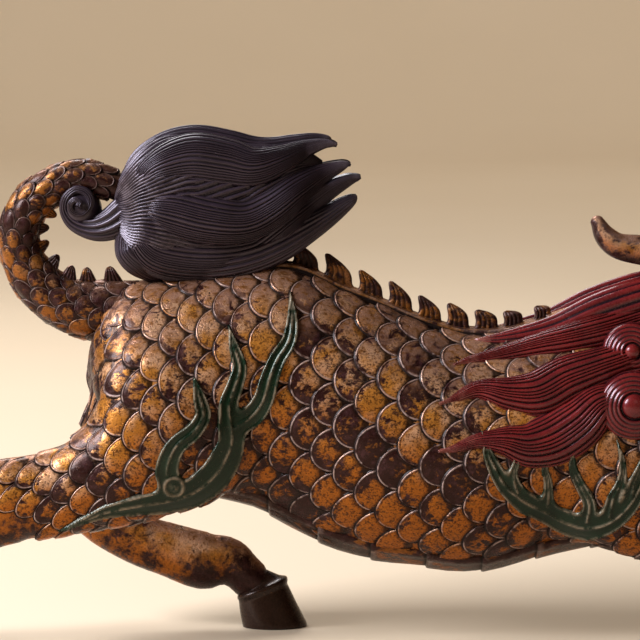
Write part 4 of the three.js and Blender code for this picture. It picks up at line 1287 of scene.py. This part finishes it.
def gilt(name, cover, wear_of=SCALE_WEAR, deep=0.0):
    """Gilding worn down to dark lacquer: patches and pin holes, rims rubbed pale with a painted highlight,
    and painted shade in the grooves, beside the rims that lie over a plate and on faces turned down. A deep
    one is browner and less rubbed."""
    stretch, tone_weight, edge_weight, level, soft, pit_share = wear_of
    paint = Paint(name)
    tone, rim, groove, edge, under = (paint.mark(mark) for mark in ("tone", "rim", "groove", "edge", "under"))
    broad = paint.noise(0.020, 2.0, seed=3.0)
    patch = paint.noise(0.0045, 3.0, 0.6, seed=8.0, bend=0.8)
    sponge = paint.noise(0.0012, 4.0, 0.72, seed=1.0, stretch=stretch)
    pits = paint.step(paint.noise(0.0006, 2.0, 0.6, seed=11.0), 0.50, 0.62)
    upward = paint.normal_up()
    marks = ((broad, 0.6), (patch, 0.62), (sponge, 0.5), (tone, tone_weight), (edge, -edge_weight))
    wear = paint.total(0.0, *marks)
    level += (0.5 - cover) * 0.4
    gold_share = paint.step(wear, level - soft, level + soft)
    gold = paint.mix(paint.step(paint.noise(0.009, 3.0, seed=5.0), 0.42, 0.62), GOLD, PALE_GOLD)
    # painted shade: faces turned down take the darker, more orange gold
    gold = paint.mix(paint.step(upward, -0.25, 0.35), UNDERSIDE_SHADE_GOLD, gold)
    gold = paint.mix(paint.step(sponge, 0.50, 0.66), gold, OLD_GOLD)
    gold = paint.mix(paint.times(pits, pit_share), gold, LACQUER)
    gold = paint.mix(deep, gold, OLD_GOLD)
    brushed = paint.step(paint.noise(0.0025, 4.0, 0.65, seed=14.0), 0.45, 0.75)
    colour = paint.mix(gold_share, paint.mix(brushed, LACQUER, RUBBED_LACQUER), gold)
    top = paint.times(paint.step(upward, 0.30, 0.80), paint.step(patch, 0.34, 0.50))
    back = paint.mix(paint.step(sponge, 0.40, 0.66), BACK_GOLD, OLD_GOLD)
    colour = paint.mix(paint.times(top, 0.85 * (1 - deep)), colour, back)
    # rims painted pale, partly for wear and partly as a painted highlight
    worn = paint.times(rim, paint.step(patch, 0.40, 0.60))
    colour = paint.mix(paint.times(worn, 0.7 * (1 - deep)), colour, RIM_WEAR_AND_HIGHLIGHT)
    # painted shade: the strips beside overlying rims, then the grooves, are darkened to near black
    colour = paint.mix(paint.times(paint.step(under, 0.50, 0.92), 0.9), colour, PAINTED_SHADE)
    colour = paint.mix(paint.step(groove, 0.15, 0.9), colour, PAINTED_SHADE)
    rough = paint.total(0.16, (sponge, 0.26), (groove, 0.3))
    metal = paint.times(paint.math("MAXIMUM", gold_share, top), 0.45)
    height = paint.total(0.0, (sponge, 0.6), (gold_share, 0.35), (pits, -0.25))
    return paint.finish(colour, rough, metal, coat=0.08, coat_roughness=0.15, height=height, depth=0.00012,
                        gloss=0.2, tint=WARM_SHINE)


def lacquer(name, colour, groove_shade, worn_colour, rough=0.2, coat=0.2, fleck=0.3, gloss=0.25, rubbed=1.0,
            tint=WHITE):
    """Coloured lacquer with painted shade in the grooves, rubbed pale on what stands proud."""
    paint = Paint(name)
    groove, worn = paint.mark("groove"), paint.mark("worn")
    cloud = paint.noise(0.006, 4.0, seed=2.0)
    fine = paint.noise(0.0007, 3.0, 0.6, seed=6.0)
    shaded = tuple(0.6 * c + 0.4 * d for c, d in zip(colour, groove_shade))
    tone = paint.mix(paint.step(cloud, 0.35, 0.65), colour, shaded)
    # painted shade in the grooves
    tone = paint.mix(paint.step(groove, 0.15, 0.7), tone, groove_shade)
    rub = paint.times(worn, paint.step(paint.noise(0.003, 4.0, seed=4.0), 0.38, 0.6))
    tone = paint.mix(paint.times(rub, rubbed), tone, worn_colour)
    tone = paint.mix(paint.times(paint.step(fine, 0.66, 0.72), fleck), tone, worn_colour)
    roughness = paint.total(rough, (fine, 0.15))
    return paint.finish(tone, roughness, coat=coat, height=fine, depth=0.00006, gloss=gloss, tint=tint)


# Lacquers: colour, colour of the painted shade in the grooves and colour where rubbed, then what sets each
# apart.
RED = ((0.128, 0.010, 0.009), (0.006, 0.0015, 0.003), (0.42, 0.17, 0.12))
RED_LOOK = {"coat": 0.24, "gloss": 0.34, "tint": (1.0, 0.72, 0.8)}
BLACK = ((0.020, 0.012, 0.017), (0.001, 0.0005, 0.001), (0.19, 0.15, 0.165))
BLACK_LOOK = {"rough": 0.28, "coat": 0.1, "gloss": 0.45, "tint": (1.0, 0.84, 1.0)}
GREEN = ((0.0035, 0.0135, 0.006), (0.001, 0.002, 0.001), (0.34, 0.25, 0.17))
GREEN_LOOK = {"rough": 0.17, "coat": 0.14, "fleck": 0.2, "gloss": 0.2, "rubbed": 0.7, "tint": (0.9, 1.0, 0.8)}
HOOF = ((0.022, 0.011, 0.007), (0.006, 0.003, 0.002), (0.20, 0.10, 0.04))
HOOF_LOOK = {"fleck": 0.5, "tint": WARM_SHINE}
IVORY = ((0.70, 0.58, 0.38), (0.2, 0.1, 0.05), (0.8, 0.7, 0.5))


def looks():
    """Each material with its slot."""
    return {
        "scales": (gilt("gilt_scales", cover=0.52), "gilt_scales"),
        "tail": (gilt("gilt_tail", cover=0.36, deep=0.6), "gilt_scales"),
        "smooth": (gilt("gilt_smooth", cover=0.52, wear_of=SMOOTH_WEAR), "gilt_scales"),
        "red": (lacquer("red_lacquer", *RED, **RED_LOOK), "red_mane"),
        "black": (lacquer("black_lacquer", *BLACK, **BLACK_LOOK), "black_tuft"),
        "green": (lacquer("green_lacquer", *GREEN, **GREEN_LOOK), "green_flames"),
        "hoof": (lacquer("hoof_lacquer", *HOOF, **HOOF_LOOK), "dark_hooves"),
        "ivory": (lacquer("ivory_lacquer", *IVORY), "pale_teeth"),
    }


# Where the core begins to lie lower for the scales, and the length over which it does: along x at
# the stretched hock, and up the hind and the front legs.
SINK_HOCK, SINK_HIND, SINK_FRONT = (-332, 12), (122, 12), (96, 10)
HIND_LEGS_TO = -75
CORE_VOXEL, CORE_BLEND = 4.8, 14.0
HEAD_VOXEL, HEAD_BLEND = 2.4, 10.0


def sunk_for_scales(x, z):
    """How far the core lies below the carved surface, where there are scales."""
    hind = np.where(x < HIND_LEGS_TO, ramp(z, *SINK_HIND), 1.0)
    front = np.where(x > FRONT_LEGS_FROM, ramp(z, *SINK_FRONT), 1.0)
    return BASE_SINK * ramp(x, *SINK_HOCK) * hind * front


def body_core():
    """Smooth trunk, neck and legs; the legs darken towards their soles."""
    legs = ((NEAR_HIND_LEG, -1), (FAR_HIND_LEG, 1), (NEAR_FRONT_LEG, -1), (FAR_FRONT_LEG, 1))
    forms = [form(TRUNK, 4, 72, bent=False), form(NECK, 4, 48)]
    forms += [form(rows, 4, 28, side * LEG_PLACE) for rows, side in legs]
    core = relaxed(fused(forms, CORE_VOXEL, CORE_BLEND, sunk_for_scales))
    soles = np.array([(x, side * LEG_PLACE, z) for x, z, side, _ in HOOVES])
    core["marks"]["edge"] = bump(np.linalg.norm(core["verts"][:, None] - soles, axis=2).min(1), DARK_PASTERN)
    return core


FLANKS = ((-1, "scales_near", 392, -338), (1, "scales_far", 424, -256))  # side, name, first and last x


def build_body(look, tree):
    """Scales, belly, tail and crest."""
    rng = np.random.default_rng(5)
    for side, name, first, last in FLANKS:
        skin, rows, reaches = flank_skin(tree, side, first, last)
        centres = flank_centres(skin, rows, reaches, side)
        piece(name, [plates(skin, centres, rng, tree)], look["scales"])
    rear = [plates(*rear_skin(tree, side), rng, tree) for side in (-1, 1)]
    piece("scales_rear", rear, look["tail"])
    piece("belly_scutes", [belly_band()], look["tail"])
    tail = form(TAIL_ROWS, 8, 32)
    piece("tail_core", [tail], look["tail"])
    pillows = plates(*tail_skin(), rng, tree_of(tail), tip=3.2, root=-0.5, reach=1.05, square=2.3, swell=1.2,
                     rim_points=13)
    piece("tail_scales", [pillows], look["tail"])
    piece("tail_fins", tail_teeth(), look["tail"])
    piece("crest_fins", crest() + [crest_cord()], look["tail"])


def build_lacquered(look, tree):
    """Tuft, mane, flames and hooves."""
    body, locks = tuft()
    piece("tuft", body, look["black"])
    piece("tuft_locks", locks, look["black"])
    piece("tail_curls", tail_curls(), look["black"])
    locks, flames, curls = [], [], []
    for side in (-1, 1):
        locks += [mane_lock(tree, rows, side) for rows in MANE_LOCKS]
        locks.append(free_lock(TOP_LOCK, side, strands=7, tip_worn=0.6))
        for x, z, radius, knob in MANE_CURLS:
            foot, out = (found[0] for found in side_hits(tree, [x], [z], side))
            out = units(out + [0, 3.0 * side, 0])
            curls.append(curl(foot + out * 5, out, radius, knob, side))
        flames.append(flames_on(tree, SHOULDER_FLAMES, [], side))
        flames.append(flames_on(tree, HAUNCH_FLAMES, [HAUNCH_KNOB], side))
    piece("mane_locks", locks, look["red"])
    piece("mane_curls", curls, look["red"])
    piece("flames", flames, look["green"])
    piece("hooves", [hoof(*place) for place in HOOVES], look["hoof"])


def build_head(look):
    piece("head", [relaxed(fused(head_forms(), HEAD_VOXEL, HEAD_BLEND))], look["smooth"])
    piece("eyes", balls(*EYEBALL), look["ivory"])
    piece("pupils", balls(*PUPIL), look["black"])
    piece("teeth", teeth(), look["ivory"])
    piece("horn", [horn()], look["smooth"])
    pairs = [free_lock(rows, side, strands=5) for rows in (BROW, EAR, WHISKER) for side in (1, -1)]
    piece("brows_ears", pairs, look["red"])
    beard = [free_lock(CHIN_LOCK, 1, flatness=0.8)]
    beard += [free_lock(rows, side, flatness=0.8) for rows in CHEEK_LOCKS for side in (1, -1)]
    piece("beard", beard, look["red"])


def build():
    """Makes every piece of the figure."""
    look = looks()
    core = body_core()
    piece("body_core", [core], look["smooth"])
    tree = tree_of(core)
    build_body(look, tree)
    build_lacquered(look, tree)
    build_head(look)


FLOOR_RADIUS = 2.4
FLOOR_BEND = 0.9
FLOOR_WALL = 2.6
FLOOR_COLOURS = ((0.62, 0.49, 0.34), (0.66, 0.53, 0.38))


def stage():
    """Round pale floor that curves up into a wall on all sides."""
    turn = np.linspace(0, np.pi / 2, 13)
    profile = [(0.4, 0.0), (FLOOR_RADIUS / 2, 0.0)]
    profile += [(FLOOR_RADIUS + FLOOR_BEND * math.sin(t), FLOOR_BEND * (1 - math.cos(t))) for t in turn]
    profile.append((FLOOR_RADIUS + FLOOR_BEND, FLOOR_WALL))
    around = circle(72)
    verts = [(0.0, 0.0, 0.0)] + [(radius * x, radius * y, z) for radius, z in profile for x, y in around]
    count = len(around)
    sides = 1 + np.roll(ring_quads(len(profile), count)[:, ::-1], 1, axis=1)
    faces = [(0, 1 + k, 1 + (k + 1) % count) for k in range(count)] + sides.tolist()
    paint = Paint("floor")
    material = paint.finish(paint.mix(paint.noise(0.25, 2.0, seed=4.0), *FLOOR_COLOURS), 0.7)
    floor = add_mesh("floor", verts, faces, material)


VIEW_MIDDLE = (-19.5, 0.0, 320.6)  # what the middle of the view shows, in shares
VIEW_DISTANCE = 3600
VIEW_RISE = math.radians(6)
SENSOR_WIDTH = 36.0
VIEW_WIDTH = 640  # shares across the view at its middle


def aim(item, target):
    way = Vector(target) - item.location
    item.rotation_euler = way.to_track_quat("-Z", "Y").to_euler()


def camera():
    data = bpy.data.cameras.new("camera")
    data.sensor_width = SENSOR_WIDTH
    data.sensor_fit = "HORIZONTAL"
    data.lens = SENSOR_WIDTH * VIEW_DISTANCE / VIEW_WIDTH
    data.clip_start, data.clip_end = 0.01, 50
    item = add_object("camera", data)
    target = Vector(VIEW_MIDDLE) * SHARE
    away = Vector((0, -math.cos(VIEW_RISE), math.sin(VIEW_RISE))) * VIEW_DISTANCE * SHARE
    item.location = target + away
    aim(item, target)
    bpy.context.scene.camera = item


# Lights: name, place, size, power, colour and what they point at.
FIGURE_MIDDLE = (0.0, 0.0, 0.08)
LIGHTS = [
    ("key", (-0.99, -0.42, 0.784), (0.70, 0.58), 43.5, (0.86, 0.90, 1.0), FIGURE_MIDDLE),
    ("back", (-0.35, 0.75, 0.85), (0.6, 0.4), 8.0, (0.97, 0.98, 1.0), FIGURE_MIDDLE),
    ("front", (0.35, -1.2, 0.75), (0.5, 0.4), 0.5, (1.0, 0.90, 0.78), FIGURE_MIDDLE),
    ("wall", (0.0, 1.5, 1.7), (2.4, 0.8), 26.0, (1.0, 0.97, 0.92), (0.0, 2.6, 0.6)),
]
WORLD_COLOUR, WORLD_STRENGTH = (1.0, 0.95, 0.88, 1.0), 0.03


def light(name, place, size, power, colour, target):
    data = bpy.data.lights.new(name, "AREA")
    data.shape = "RECTANGLE"
    data.size, data.size_y = size
    data.energy = power
    data.color = colour
    item = add_object(name, data)
    item.location = place
    item.visible_camera = False
    aim(item, target)


def lights():
    for settings in LIGHTS:
        light(*settings)
    world = bpy.data.worlds.new("world")
    world.use_nodes = True
    background = world.node_tree.nodes["Background"]
    background.inputs["Color"].default_value = WORLD_COLOUR
    background.inputs["Strength"].default_value = WORLD_STRENGTH
    bpy.context.scene.world = world
    bpy.context.scene.view_settings.view_transform = "Standard"


build()
stage()
camera()
lights()
